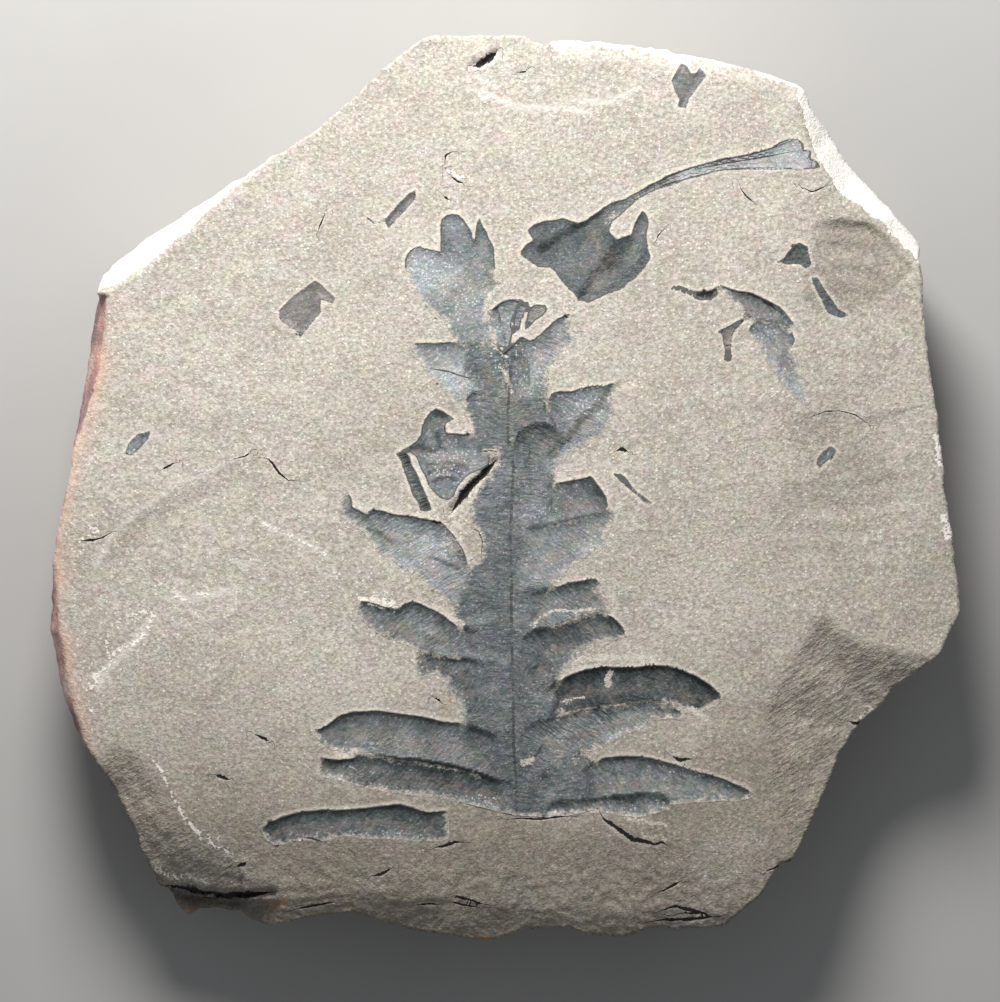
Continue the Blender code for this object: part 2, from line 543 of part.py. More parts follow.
# Closed outlines of the small shreds.
SCRAPS = {
    "top_scrap": [
        (22.1, 53.5), (23, 53.1), (23.4, 52.1), (23.9, 52), (24.5, 53), (25.2, 51.8), (24.5, 50.9),
        (23.2, 49), (22.8, 47.6), (21.6, 47.9), (21.9, 48.9), (21.2, 50.2), (20.9, 51.2), (21.5, 52.4),
    ],
    "triangle_scrap": [
        (34.1, 28.5), (34.9, 28.8), (35.4, 29.6), (36.1, 30.5), (37, 31), (37.9, 30.4), (38.2, 29.2),
        (38.5, 28.1), (37.8, 27.6), (36.9, 28.2), (35.6, 28.2),
    ],
    "strip_scrap": [
        (38.4, 26.6), (39.2, 26.6), (40, 25.2), (41, 23.8), (42, 22.6), (43, 21.9), (42.2, 21.5),
        (41.2, 21.8), (40.4, 22.2), (39.8, 23.5), (39, 25.1),
    ],
    "square_scrap": [
        (-23.6, 26.2), (-22.8, 25.8), (-21.1, 24), (-21.4, 23.2), (-22.9, 23.9), (-22.9, 22.2),
        (-25.5, 19.1), (-26.1, 20), (-28.1, 21.4), (-28.1, 22.5), (-26.5, 24.1), (-25.1, 25.2),
    ],
    "upper_left_chip": [
        (-17.1, 34.1), (-16, 33.6), (-14.8, 34), (-13.4, 35.6), (-12.2, 36.8), (-11.1, 37.5),
        (-11, 36.6), (-12.2, 35.1), (-13.5, 33.9), (-14.4, 32.6), (-15, 33.6), (-16.2, 33.2),
    ],
    "left_sliver": [
        (-47.6, 4.4), (-46.9, 5.9), (-45.8, 6.9), (-44, 7.6), (-44.5, 6.5), (-45.4, 5.4), (-46.5, 4.4),
    ],
    "right_sliver": [
        (40.9, 5.5), (41.5, 4.9), (41.1, 4.2), (40.2, 3.5), (39.4, 2.6), (39, 3.2), (39.2, 4),
        (40, 4.9),
    ],
    "centre_sliver": [
        (13.6, 2.1), (14.5, 2.1), (15.4, 1.5), (16, 0.5), (17.1, -0.5), (18.4, -1.6), (17.6, -1.5),
        (16.2, -0.4), (15.2, 0.4), (14.4, 1.1),
    ],
}

RACHIS = [
    (-1.2, 23.8), (0.1, 18.8), (0.9, 16.2), (0.8, 13.8), (0.5, 10), (0.5, 6.2), (1, 4.8), (1.2, 2.5),
    (1, -1.2), (0.8, -6.2), (1, -10.6), (0.9, -15), (1, -20), (1.2, -26.2), (1.2, -31.2), (1.5, -36.2),
    (1.6, -40.9),
]


def distance_to_line(points, line):
    """Shortest distance of each point to an open polyline: the least over its straight stretches."""
    start = np.asarray(line[:-1], float)
    step = np.asarray(line[1:], float) - start
    offset = points[:, None, :] - start[None, :, :]
    along = (offset * step).sum(2) / (step * step).sum(1)
    nearest = np.clip(along, 0.0, 1.0)[:, :, None] * step
    return np.sqrt(((offset - nearest) ** 2).sum(2)).min(1)


def inside(points, outline):
    """True where a point lies in a closed outline: a ray towards +X crosses it an odd number of times."""
    start = np.asarray(outline, float)
    end = np.roll(start, -1, axis=0)
    x, y = points[:, 0:1], points[:, 1:2]
    spans = (start[:, 1] > y) != (end[:, 1] > y)
    rise = np.where(end[:, 1] == start[:, 1], 1.0, end[:, 1] - start[:, 1])
    crossing = start[:, 0] + (y - start[:, 1]) * (end[:, 0] - start[:, 0]) / rise
    return (spans & (x < crossing)).sum(1) % 2 == 1


def moved_outline(outline, distance):
    """A closed outline with every point moved outwards by a distance, or inwards if it is negative."""
    points = np.asarray(outline, float)
    before = np.roll(points, 1, axis=0)
    after = np.roll(points, -1, axis=0)
    area = (points[:, 0] * after[:, 1] - after[:, 0] * points[:, 1]).sum()
    turn = 1.0 if area > 0 else -1.0
    first = (points - before) / np.linalg.norm(points - before, axis=1, keepdims=True)
    second = (after - points) / np.linalg.norm(after - points, axis=1, keepdims=True)
    tangent = first + second
    length = np.maximum(np.linalg.norm(tangent, axis=1, keepdims=True), 1.0)
    tangent = tangent / length
    normal = turn * np.column_stack((tangent[:, 1], -tangent[:, 0]))
    return points + distance * normal


def ramp(distance, slope, softness):
    """A fall that starts flat at a crest and becomes a straight slope past its soft stretch."""
    return slope * distance * distance / (distance + softness)


def bevels(points):
    """Fall of the broken-off margins: in each area, the fall grows with the distance from its crest."""
    fall = np.zeros(len(points))
    for crests, corners in BEVELS:
        area = [p for line, _, _ in crests for p in line] + corners
        within = inside(points, area)
        falls = [ramp(distance_to_line(points, line), slope, soft) for line, slope, soft in crests]
        depth = np.min(falls, axis=0)
        fall = np.maximum(fall, np.where(within, depth, 0.0))
    return fall


def scars(points):
    """Shallow flake scars: below its upper edge each one drops quickly, then climbs slowly back."""
    fall = np.zeros(len(points))
    for edge, depth, drop, reach in SCARS:
        line = np.asarray(edge, float)
        below = np.interp(points[:, 0], line[:, 0], line[:, 1]) - points[:, 1]
        ends = np.minimum(points[:, 0] - line[0, 0], line[-1, 0] - points[:, 0])
        fade = np.clip(ends / SCAR_END_FADE, 0.0, 1.0)
        shape = (1.0 - np.exp(-np.maximum(below, 0.0) / drop)) * np.exp(-np.maximum(below, 0.0) / reach)
        fall += depth * shape * fade
    return fall


def ledge(points):
    """The sunken ledge below the crevice: a steep wall under the lip, fading out towards its right end."""
    lip = np.asarray(CREVICE_LIP, float)
    below = np.interp(points[:, 0], lip[:, 0], lip[:, 1]) - points[:, 1]
    open_end = np.clip((LEDGE_END - points[:, 0]) / LEDGE_FADE, 0.0, 1.0)
    wall = np.clip((below - CREVICE_EDGE) / CREVICE_WALL, 0.0, 1.0)
    groove = CREVICE_DEPTH * np.exp(-((below - CREVICE_WIDTH / 2) / CREVICE_WIDTH) ** 2)
    return np.where(below > 0.0, open_end * wall * (LEDGE_DROP + groove), 0.0)


def cracks(points):
    """Depth of the open cracks: a V-shaped groove along each line."""
    fall = np.zeros(len(points))
    for line, half_width, depth in CRACKS:
        fall += depth * np.clip(1.0 - distance_to_line(points, line) / half_width, 0.0, 1.0)
    return fall


def stone_height(points):
    """Height of the stone's face before the leaves: the rolling bedding plane less all that broke away."""
    x, y = points[:, 0], points[:, 1]
    rolling = BEDDING_SWELL * np.sin(0.055 * x + 0.6) * np.cos(0.047 * y - 0.4)
    rolling += BEDDING_RIPPLE * np.sin(0.13 * x - 0.09 * y)
    broken = bevels(points) + scars(points) + ledge(points) + cracks(points)
    return FACE_HEIGHT + rolling - broken


def trough(points, upper, lower, depth):
    """Depth of one lobe: a wall under its upper margin, then a long slope up to its lower margin."""
    from_upper = distance_to_line(points, upper)
    from_lower = distance_to_line(points, lower)
    across = from_lower / np.maximum(from_upper + from_lower, 1e-6)
    wall = np.clip(from_upper / MARGIN_WALL, 0.0, 1.0)
    return depth * wall * np.sin(0.5 * math.pi * np.clip(across, 0.0, 1.0))


def lobe_outline(upper, lower):
    """A lobe's margins as one closed outline, with their shared base and tip once each."""
    return upper + lower[-2:0:-1]


def pressed_depth(points, lobes):
    """Depth of a whole film below the face: each lobe's trough, the later lobes lying over the earlier."""
    depth = np.full(len(points), FILM_SINK)
    for name, (upper, lower) in lobes.items():
        within = inside(points, moved_outline(lobe_outline(upper, lower), -LOBE_EDGE))
        lobe = trough(points, upper, lower, LOBE_DEPTHS.get(name, SHALLOW_LOBE))
        depth = np.where(within, FILM_SINK + lobe, depth)
    groove = RACHIS_DEPTH * np.exp(-(distance_to_line(points, RACHIS) / RACHIS_WIDTH) ** 2)
    return depth + (groove if lobes is FROND_LOBES else 0.0)


def scrap_depth(points, _outline):
    """A shred lies flat, a little below the face."""
    return np.full(len(points), SCRAP_SINK)


def lobe_outlines(lobes):
    """The closed outline of each lobe of a film."""
    return [lobe_outline(upper, lower) for upper, lower in lobes.values()]


def films():
    """Every film: its node's name, its closed outlines, its depth function and what that reads."""
    rows = [
        ("main_frond", lobe_outlines(FROND_LOBES), pressed_depth, FROND_LOBES),
        ("stalked_leaf", lobe_outlines(STALKED_LOBES), pressed_depth, STALKED_LOBES),
        ("torn_leaf", lobe_outlines(TORN_LOBES), pressed_depth, TORN_LOBES),
        ("detached_pinnule", lobe_outlines(DETACHED_LOBES), pressed_depth, DETACHED_LOBES),
    ]
    rows += [(name, [outline], scrap_depth, outline) for name, outline in SCRAPS.items()]
    return rows


def grid_points(spacing, low, high):
    """A triangular grid of points over a box."""
    rows = np.arange(low[1], high[1], spacing * math.sqrt(3) / 2)
    columns = np.arange(low[0], high[0], spacing)
    x, y = np.meshgrid(columns, rows)
    x = x + np.where(np.arange(len(rows)) % 2 == 0, 0.0, spacing / 2)[:, None]
    return np.column_stack((x.ravel(), y.ravel()))


def clear_of(points, lines, clearance):
    """The points that keep their distance from every line."""
    keep = np.ones(len(points), bool)
    for line in lines:
        keep &= distance_to_line(points, line) > clearance
    return points[keep]


def beside(line, distance):
    """A line moved sideways."""
    points = np.asarray(line, float)
    along = np.gradient(points, axis=0)
    along /= np.linalg.norm(along, axis=1, keepdims=True)
    return (points + distance * np.column_stack((-along[:, 1], along[:, 0]))).tolist()


def closed(outline):
    """An outline as a line that ends where it starts."""
    return list(outline) + [outline[0]]


def pieces_outside(line, outlines):
    """The stretches of a line that no outline hides: edges with both ends well inside one are left out."""
    points = np.asarray(line, float)
    hidden = np.zeros(len(points) - 1, bool)
    for outline in outlines:
        within = inside(points, moved_outline(outline, -HIDDEN_MARGIN))
        hidden |= within[:-1] & within[1:]
    return [line[i:i + 2] for i in range(len(line) - 1) if not hidden[i]]


def film_lines(lobes):
    """Lines of a lobed film: its outer edge, and the upper margins that later lobes leave in view."""
    outlines = lobe_outlines(lobes)
    pieces = []
    for number, (upper, lower) in enumerate(lobes.values()):
        pieces += pieces_outside(upper, outlines[number + 1:])
        pieces += pieces_outside(lower, outlines[:number] + outlines[number + 1:])
    return pieces


def pocket_lines(outlines):
    """The edge of a film's pocket: its outlines moved out by the gap, less what they hide of each other."""
    moved = [moved_outline(outline, POCKET_GAP).tolist() for outline in outlines]
    pieces = []
    for number, outline in enumerate(moved):
        pieces += pieces_outside(closed(outline), moved[:number] + moved[number + 1:])
    return pieces


def face_lines(film_rows):
    """All lines that the face's triangles follow: outer edge, crests, films and their pockets."""
    lines = [closed(SILHOUETTE)]
    lines += [line for crests, _ in BEVELS for line, _, _ in crests]
    lines += [edge for edge, _, _, _ in SCARS]
    lines += [CREVICE_LIP, [(x, y - CREVICE_WALL) for x, y in CREVICE_LIP]]
    for line, half_width, _ in CRACKS:
        lines += [line, beside(line[1:-1], half_width), beside(line[1:-1], -half_width)]
    for _, outlines, _, source in film_rows:
        lines += film_lines(source) if isinstance(source, dict) else [closed(outlines[0])]
        lines += pocket_lines(outlines)
    return lines


def inner_points(film_rows, lines):
    """Points between the lines: a wide grid on the stone and a close one on the films."""
    stone = grid_points(STONE_GRID, (-58.0, -58.0), (58.0, 58.0))
    stone = clear_of(stone[inside(stone, SILHOUETTE)], lines, STONE_CLEARANCE)
    groups = [stone]
    for _, outlines, depth_of, source in film_rows:
        box = np.vstack([np.asarray(outline, float) for outline in outlines])
        grid = grid_points(FILM_GRID, box.min(0), box.max(0))
        within = np.any([inside(grid, outline) for outline in outlines], axis=0)
        groups.append(clear_of(grid[within], lines, FILM_CLEARANCE))
    return np.vstack(groups)


def triangulate(lines, points):
    """Triangles of the whole face that keep every line as edges."""
    vertices, edges = [], []
    for line in lines:
        first = len(vertices)
        vertices += [tuple(p) for p in line]
        edges += [(first + i, first + i + 1) for i in range(len(line) - 1)]
    vertices += [tuple(p) for p in points]
    result = delaunay_2d_cdt([Vector(p) for p in vertices], edges, [], 0, MERGE_DISTANCE)
    flat = np.array([tuple(v) for v in result[0]])
    faces = np.array([tuple(face) for face in result[2]])
    a, b, c = flat[faces[:, 0]], flat[faces[:, 1]], flat[faces[:, 2]]
    turn = (b[:, 0] - a[:, 0]) * (c[:, 1] - a[:, 1]) - (b[:, 1] - a[:, 1]) * (c[:, 0] - a[:, 0])
    faces[turn < 0] = faces[turn < 0][:, ::-1]
    return flat, faces[np.abs(turn) > 1e-9]


def border_edges(faces):
    """Directed edges that only one of the given triangles has."""
    directed = np.vstack((faces[:, [0, 1]], faces[:, [1, 2]], faces[:, [2, 0]]))
    known = {(int(a), int(b)) for a, b in directed}
    return [edge for edge in known if (edge[1], edge[0]) not in known]


def mend_pinches(flat, faces, pocket):
    """Gives thin stone crumbs to the pocket where two bits of stone would meet at one point only."""
    side = flat[faces[:, 1]] - flat[faces[:, 0]]
    other = flat[faces[:, 2]] - flat[faces[:, 0]]
    area = 0.5 * np.abs(side[:, 0] * other[:, 1] - side[:, 1] * other[:, 0])
    pocket = pocket.copy()
    for _ in range(PINCH_ROUNDS):
        starts = [edge[0] for edge in border_edges(faces[~pocket])]
        pinched = [index for index in set(starts) if starts.count(index) > 1]
        if not pinched:
            break
        touching = np.isin(faces, pinched).any(axis=1)
        pocket |= touching & (area < CRUMB_AREA)
    return pocket


def add_layer(mesh, flat, heights, faces, upward):
    """Adds one layer of triangles at the given heights and returns its vertices by their face number."""
    used = {}
    for index in np.unique(faces):
        x, y = flat[index]
        used[int(index)] = mesh.verts.new((x * MM, y * MM, heights[index] * MM))
    for a, b, c in faces:
        corners = (used[int(a)], used[int(b)], used[int(c)])
        mesh.faces.new(corners if upward else corners[::-1])
    return used


def add_wall(mesh, edges, top, bottom):
    """Joins two layers by an upright wall along the border edges of the upper one."""
    for a, b in edges:
        mesh.faces.new((top[b], top[a], bottom[a], bottom[b]))


def object_from(mesh, name, material):
    """Turns a finished body into a named object with triangles only and its material."""
    bmesh.ops.triangulate(mesh, faces=mesh.faces)
    bmesh.ops.remove_doubles(mesh, verts=mesh.verts, dist=WELD_DISTANCE * MM)
    bmesh.ops.recalc_face_normals(mesh, faces=mesh.faces)
    data = bpy.data.meshes.new(name)
    mesh.to_mesh(data)
    mesh.free()
    data.materials.append(material)
    body = bpy.data.objects.new(name, data)
    bpy.context.scene.collection.objects.link(body)
    return body


def stone_material():
    """Dry siltstone, warm grey-brown."""
    return plain_material("siltstone", (0.42, 0.37, 0.32, 1.0), 0.93)


def film_material():
    """Carbonised leaf, dark blue-grey with a dull sheen."""
    return plain_material("carbon_film", (0.085, 0.095, 0.105, 1.0), 0.55)


def plain_material(name, colour, roughness):
    """One opaque, non-metallic finish."""
    material = bpy.data.materials.new(name)
    material.use_nodes = True
    shader = material.node_tree.nodes["Principled BSDF"]
    shader.inputs["Base Color"].default_value = colour
    shader.inputs["Roughness"].default_value = roughness
    shader.inputs["Metallic"].default_value = 0.0
    return material


def add_film(flat, faces, heights, name, material):
    """One film: its upper face, the same face a film's thickness lower, and the edge between them."""
    mesh = bmesh.new()
    top = add_layer(mesh, flat, heights, faces, True)
    bottom = add_layer(mesh, flat, heights - FILM_THICKNESS, faces, False)
    add_wall(mesh, border_edges(faces), top, bottom)
    return object_from(mesh, name, material)


def foot_ring(rim, rim_heights, share, inset, ripple):
    """A ring of the slab's broken side: the rim drawn towards the centre by a rippled inset."""
    angle = np.arctan2(rim[:, 1], rim[:, 0])
    wave = sum(height * np.sin(count * angle + shift * share) for count, height, shift in SIDE_WAVES)
    radius = np.linalg.norm(rim, axis=1)
    drawn_in = np.maximum(inset + ripple * wave, SIDE_LEAST_INSET * (1.0 - share))
    return rim * (1.0 - drawn_in / radius)[:, None], rim_heights * share


def add_slab(flat, faces, stone_faces, pocket_faces, heights, floor, rim_order, material):
    """The stone: its face, its pockets, its broken sides and the flat it rests on."""
    mesh = bmesh.new()
    top = add_layer(mesh, flat, heights, stone_faces, True)
    pocket = add_layer(mesh, flat, floor, pocket_faces, True)
    outer = {(a, b) for a, b in border_edges(faces)}
    inner = [edge for edge in border_edges(stone_faces) if edge not in outer]
    add_wall(mesh, inner, top, pocket)
    rim = flat[rim_order]
    ring = [top[index] for index in rim_order]
    for share, inset, ripple in FOOT_RINGS:
        points, levels = foot_ring(rim, heights[rim_order], share, inset, ripple)
        lower = [mesh.verts.new((x * MM, y * MM, z * MM)) for (x, y), z in zip(points, levels)]
        for i in range(len(ring)):
            j = (i + 1) % len(ring)
            mesh.faces.new((ring[j], ring[i], lower[i], lower[j]))
        ring = lower
    mesh.faces.new(ring[::-1])
    return object_from(mesh, "matrix_slab", material)


def ordered_rim(faces):
    """The face's outer border as one loop of vertex numbers."""
    following = {a: b for a, b in border_edges(faces)}
    start = min(following)
    loop = [start]
    while following[loop[-1]] != start:
        loop.append(following[loop[-1]])
    return loop


def main():
    for old in list(bpy.data.objects):
        bpy.data.objects.remove(old, do_unlink=True)
    stone, film = stone_material(), film_material()
    rows = films()
    lines = face_lines(rows)
    flat, faces = triangulate(lines, inner_points(rows, lines))
    middle = flat[faces].mean(axis=1)
    within = inside(middle, SILHOUETTE)
    faces, middle = faces[within], middle[within]
    face_height = stone_height(flat)
    floor = face_height.copy()
    pocket = np.zeros(len(faces), bool)
    for name, outlines, depth_of, source in rows:
        film_faces = np.any([inside(middle, outline) for outline in outlines], axis=0)
        hole = np.any([inside(middle, moved_outline(o, POCKET_GAP)) for o in outlines], axis=0) | film_faces
        top = face_height - depth_of(flat, source)
        near = np.unique(faces[hole])
        floor[near] = (top - FILM_THICKNESS - POCKET_GAP)[near]
        add_film(flat, faces[film_faces], top, name, film)
        pocket |= hole
    pocket = mend_pinches(flat, faces, pocket)
    add_slab(flat, faces, faces[~pocket], faces[pocket], face_height, floor, ordered_rim(faces), stone)


main()
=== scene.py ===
"""Fossil seed-fern frond pressed on a slab of siltstone: its looks, piece by piece.

The slab is one closed surface: a square grid bent to its outline, with its broken side and its flat
below. Every leaf film is a closed skin that dips into the stone along its crisp upper margins and comes
back up to the face along its soft lower ones. Outlines are in millimetres, with +X right, +Y towards the
frond's tip and +Z out of the leaf face, as in the solid model.
"""
import math

import bpy
import numpy as np
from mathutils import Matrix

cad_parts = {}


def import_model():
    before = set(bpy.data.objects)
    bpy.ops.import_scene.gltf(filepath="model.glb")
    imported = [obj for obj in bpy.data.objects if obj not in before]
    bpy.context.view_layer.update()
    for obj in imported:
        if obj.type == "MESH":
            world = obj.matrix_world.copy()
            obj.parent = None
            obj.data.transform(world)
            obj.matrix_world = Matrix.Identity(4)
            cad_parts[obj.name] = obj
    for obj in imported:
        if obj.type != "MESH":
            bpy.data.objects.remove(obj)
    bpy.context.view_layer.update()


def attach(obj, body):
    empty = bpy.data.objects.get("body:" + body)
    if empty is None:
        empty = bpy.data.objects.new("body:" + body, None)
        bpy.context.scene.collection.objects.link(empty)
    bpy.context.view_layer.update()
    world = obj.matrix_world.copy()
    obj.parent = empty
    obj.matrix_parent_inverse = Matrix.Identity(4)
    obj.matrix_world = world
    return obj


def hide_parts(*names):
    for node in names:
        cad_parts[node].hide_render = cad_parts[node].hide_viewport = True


MM = 0.001

# Stone
FACE_HEIGHT = 18.0
BEDDING_SWELL = 0.22
BEDDING_RIPPLE = 0.1
SLAB_CELLS = 262
SIDE_ROWS = 20
FOOT_ROWS = 3
SNAP_REACH = 0.5
FILM_OVERLAP = 0.14
POCKET_DROP = 0.22
MARGIN_LIP = 0.06

# Leaf films
FILM_CELL = 0.23
FILM_THICKNESS = 0.16
FILM_LIFT = 0.015
MARGIN_WALL = 0.8
MARGIN_STEP = 0.22
MARGIN_SHADE = 0.8
FLAT_DEPTH = 0.12
BASE_FADE = 3.0
RACHIS_DEPTH = 0.1
RACHIS_WIDTH = 0.35
SCRAP_DEPTH = 0.1
SIGHT = 4.0
OPEN_CRACK = 0.36
LINE_SIGHT = 0.9
STAIN_REACH = 0.9
VEIN_SLANT = 0.8

# The slab's outer edge seen from above, clockwise from its top left corner.
SILHOUETTE = [
    (-10.4, 56.6), (-8, 56.9), (-4.2, 56.9), (-1.1, 56.9), (2.2, 56.8), (4.2, 56.1), (5.1, 55.5),
    (6.1, 56.5), (11.8, 56.2), (17, 55.6), (22.1, 54.8), (26.6, 53.9), (31.1, 52.8), (35, 51.5),
    (36.8, 50.8), (37.8, 49.9), (38.5, 48), (40, 46), (42, 43.4), (43.1, 41.5), (45, 39.2),
    (46.4, 37.9), (47.9, 35.9), (50, 33.6), (52.1, 31.2), (52.2, 27.8), (52.4, 23.6), (52.9, 18.2),
    (53.4, 14.8), (53.9, 11.1), (54.4, 8.1), (54.8, 4.4), (55.2, 0), (55.8, -3.8), (56.4, -7.9),
    (56.8, -11.8), (57, -15.2), (56, -17.8), (54.6, -20.5), (51.9, -22.9), (49.6, -24.5),
    (47.4, -27.4), (45.1, -29), (43.9, -30.9), (42.2, -33.4), (41.2, -35.8), (40.1, -38.5),
    (38.8, -41.2), (37.5, -43.9), (36.6, -45.9), (34.5, -47), (33.4, -48.8), (31.8, -51.1),
    (30.1, -52.8), (27.8, -54.8), (25.2, -55.2), (21.6, -55.4), (18.5, -55.1), (15.6, -56.2),
    (11.8, -56.4), (9.9, -56), (8.2, -55.1), (4.8, -55.2), (2.5, -55.4), (0.4, -56.2), (-1.9, -56.9),
    (-4, -56.8), (-6.4, -56.2), (-9.6, -55.9), (-13.1, -55.1), (-16, -54.2), (-19, -53.1),
    (-22.4, -53.4), (-24.9, -53.9), (-27, -54.4), (-29.5, -55.1), (-31.8, -54.5), (-33.8, -53.6),
    (-36.8, -53.1), (-38.8, -53.4), (-40.4, -54.5), (-41.5, -53), (-42.6, -51.4), (-43.8, -50.1),
    (-44.2, -48.6), (-45.4, -45.9), (-46.5, -43), (-47.6, -40.5), (-48.8, -38), (-50.1, -35.5),
    (-51.9, -33), (-53.2, -30.8), (-54.4, -28.2), (-55.2, -26), (-56, -23.2), (-56.6, -20.4),
    (-57, -17.5), (-56.9, -13.9), (-56.6, -9.8), (-56.1, -6.4), (-55.5, -3.2), (-54.9, -0.2),
    (-54.4, 2.5), (-53.8, 6.5), (-53.2, 11.2), (-52.5, 15.4), (-52, 19.6), (-51.4, 22.5),
    (-50.8, 25.2), (-50.4, 27), (-48.5, 28.9), (-45.8, 31.1), (-40.6, 34.5), (-36.2, 37.2),
    (-32.4, 39.5), (-27.6, 42.5), (-24, 44.8), (-19.2, 48.8), (-14.8, 52.9),
]

# Crests where the face breaks off, each followed by the corners that close its area outside the slab.
UPPER_LEFT_CREST = [
    (-50.8, 24.5), (-49, 25.1), (-45.1, 27.2), (-41.8, 30), (-39.2, 32.1), (-36.2, 35.1),
    (-33.4, 37.5), (-29.5, 40.6), (-26, 43), (-21.8, 46.2),
]
UPPER_RIGHT_CREST = [
    (36.1, 50.8), (36.5, 48.2), (38.2, 42.5), (39.8, 39.8), (41.5, 36.9), (47, 33.1), (49.5, 30.2),
    (51.8, 27.8),
]
TOP_CREST = [
    (6.5, 53.5), (12, 53.8), (18.2, 53), (21, 52), (24.5, 52.2), (29.5, 51.2), (33.9, 49.8),
    (36.5, 48.2),
]
LEFT_CREST = [
    (-49.4, 24.2), (-49.9, 19.6), (-50.5, 15.4), (-51.2, 12.6), (-52.4, 8.4), (-53.8, 4.8), (-54.5, 0),
    (-55.5, -5), (-56.1, -8.8), (-55.8, -10.9), (-55.5, -17.5), (-54.9, -19.6), (-54.4, -23.2),
    (-53.5, -27.4), (-52.6, -30.1), (-51.8, -32.8),
]
LOWER_RIGHT_CREST = [
    (54.6, -20.5), (49.6, -20), (45.5, -19), (42.6, -17.5), (40.4, -15.2),
]
LOWER_RIGHT_SOFT = [
    (40.4, -15.2), (38.1, -15.9), (35.6, -20.4), (33, -24.5), (31.6, -27.6), (31.8, -30.9),
    (32.4, -33.4), (32.4, -38.1), (35.8, -46.5),
]
LOWER_LEFT_CREST = [
    (-51.9, -33), (-49, -31.9), (-45.8, -32.4), (-43.5, -35.2), (-41.8, -36.9), (-41, -39.1),
    (-39.9, -41.4), (-38.8, -42.8), (-37, -44.1), (-35.1, -45.2), (-32.9, -46.4),
]
BOTTOM_CREST = [
    (-32.9, -46.4), (-30.2, -49.4), (-26.8, -50.6), (-21.8, -50.2), (-15.5, -50), (-9.2, -50.6),
    (-3, -51), (3.2, -51.9), (9.5, -52.2), (17, -52.8), (19.5, -51.9), (24.5, -53.1), (30.1, -52.8),
]

# The sunken ledge at the lower left: the lip above its dark crevice.
CREVICE_LIP = [
    (-43.8, -50.1), (-40.8, -50.5), (-37.2, -51), (-34.9, -51.4), (-32.4, -51.4), (-29.2, -51.5),
]

# Upper edges of the shallow scars in the face.
RIGHT_FLAKE = [
    (38.2, 33), (40.1, 33.8), (42.6, 33.9), (46, 33.4), (48.2, 31.2), (51, 28.1),
]
RIGHT_STEP = [
    (34.2, 8.2), (38.5, 9.8), (42, 9.9), (44.1, 8.8), (48.2, 9.8), (53.9, 11.2),
]
RIGHT_HOLLOW = [
    (33.2, 1.5), (38.2, 1), (43.2, 1), (48.2, 2), (53.2, 2.5),
]
LEFT_STEP = [
    (-50.8, -6.9), (-49, -5.2), (-45.1, -1.4), (-41.2, 0.6), (-37.9, 2.5), (-33.8, 3.8), (-30.2, 4),
]

# Every broken margin: its crests with their slope and soft stretch in mm, then the outside corners.
BEVELS = {
    "upper_left": ([(UPPER_LEFT_CREST, 1.0, 0.3)], [(-22.0, 54.0), (-56.0, 34.0), (-56.0, 24.0)]),
    "upper_right": ([(UPPER_RIGHT_CREST, 0.9, 0.3)], [(60.0, 28.0), (60.0, 56.0), (36.0, 56.0)]),
    "top": ([(TOP_CREST, 0.6, 0.8)], [(40.0, 58.0), (5.0, 58.0)]),
    "left": ([(LEFT_CREST, 2.2, 0.3)], [(-62.0, -34.0), (-62.0, 26.0)]),
    "lower_right": (
        [(LOWER_RIGHT_CREST, 0.44, 0.2), (LOWER_RIGHT_SOFT, 0.3, 0.6)],
        [(60.0, -60.0), (62.0, -20.0)],
    ),
    "lower_left": ([(LOWER_LEFT_CREST, 0.38, 0.4)], [(-33.0, -60.0), (-60.0, -60.0), (-60.0, -34.0)]),
    "bottom": ([(BOTTOM_CREST, 0.34, 1.0)], [(31.0, -60.0), (-33.0, -60.0)]),
}

# Every scar: its upper edge, its depth, how fast it drops and how far it reaches, in mm.
SCARS = [
    (RIGHT_FLAKE, 1.3, 1.5, 8.0),
    (RIGHT_STEP, 0.3, 1.0, 5.0),
    (RIGHT_HOLLOW, 0.7, 3.0, 9.0),
    (LEFT_STEP, 0.3, 1.4, 9.0),
]
SCAR_END_FADE = 4.0

# The sunken ledge, in mm: its drop, its groove and where it ends.
LEDGE_DROP = 3.0
LEDGE_END = -28.0
LEDGE_FADE = 6.0
CREVICE_EDGE = 0.02
CREVICE_WALL = 0.3
CREVICE_DEPTH = 2.0
CREVICE_WIDTH = 1.3

# How far the broken side stands in from the outline, at shares of the rim's height, in mm.
SIDE_SHARES = [0.0, 0.12, 0.30, 0.52, 0.80, 1.0]
SIDE_INSETS = [4.4, 2.0, 1.4, 0.5, 0.6, 0.0]

# Fields of the face that fade out just below its rim.
FACE_ONLY = ("powder", "chip", "pale", "rust", "grey", "rind_stain", "crack_near")

# Steps of the layered foot, in mm: their height, and how strongly they show.
TERRACE_STEP = 0.55
TERRACE_STRENGTH = 1.0

# Ripples of the shell-like breaks: bevel, the point they spread from, spacing and height, in mm.
BREAK_RIPPLES = [
    ("lower_right", (58.0, -14.0), 2.6, 0.05),
    ("lower_left", (-30.0, -30.0), 2.2, 0.05),
    ("upper_left", (-60.0, 60.0), 2.4, 0.04),
    ("upper_right", (20.0, 20.0), 2.0, 0.05),
]

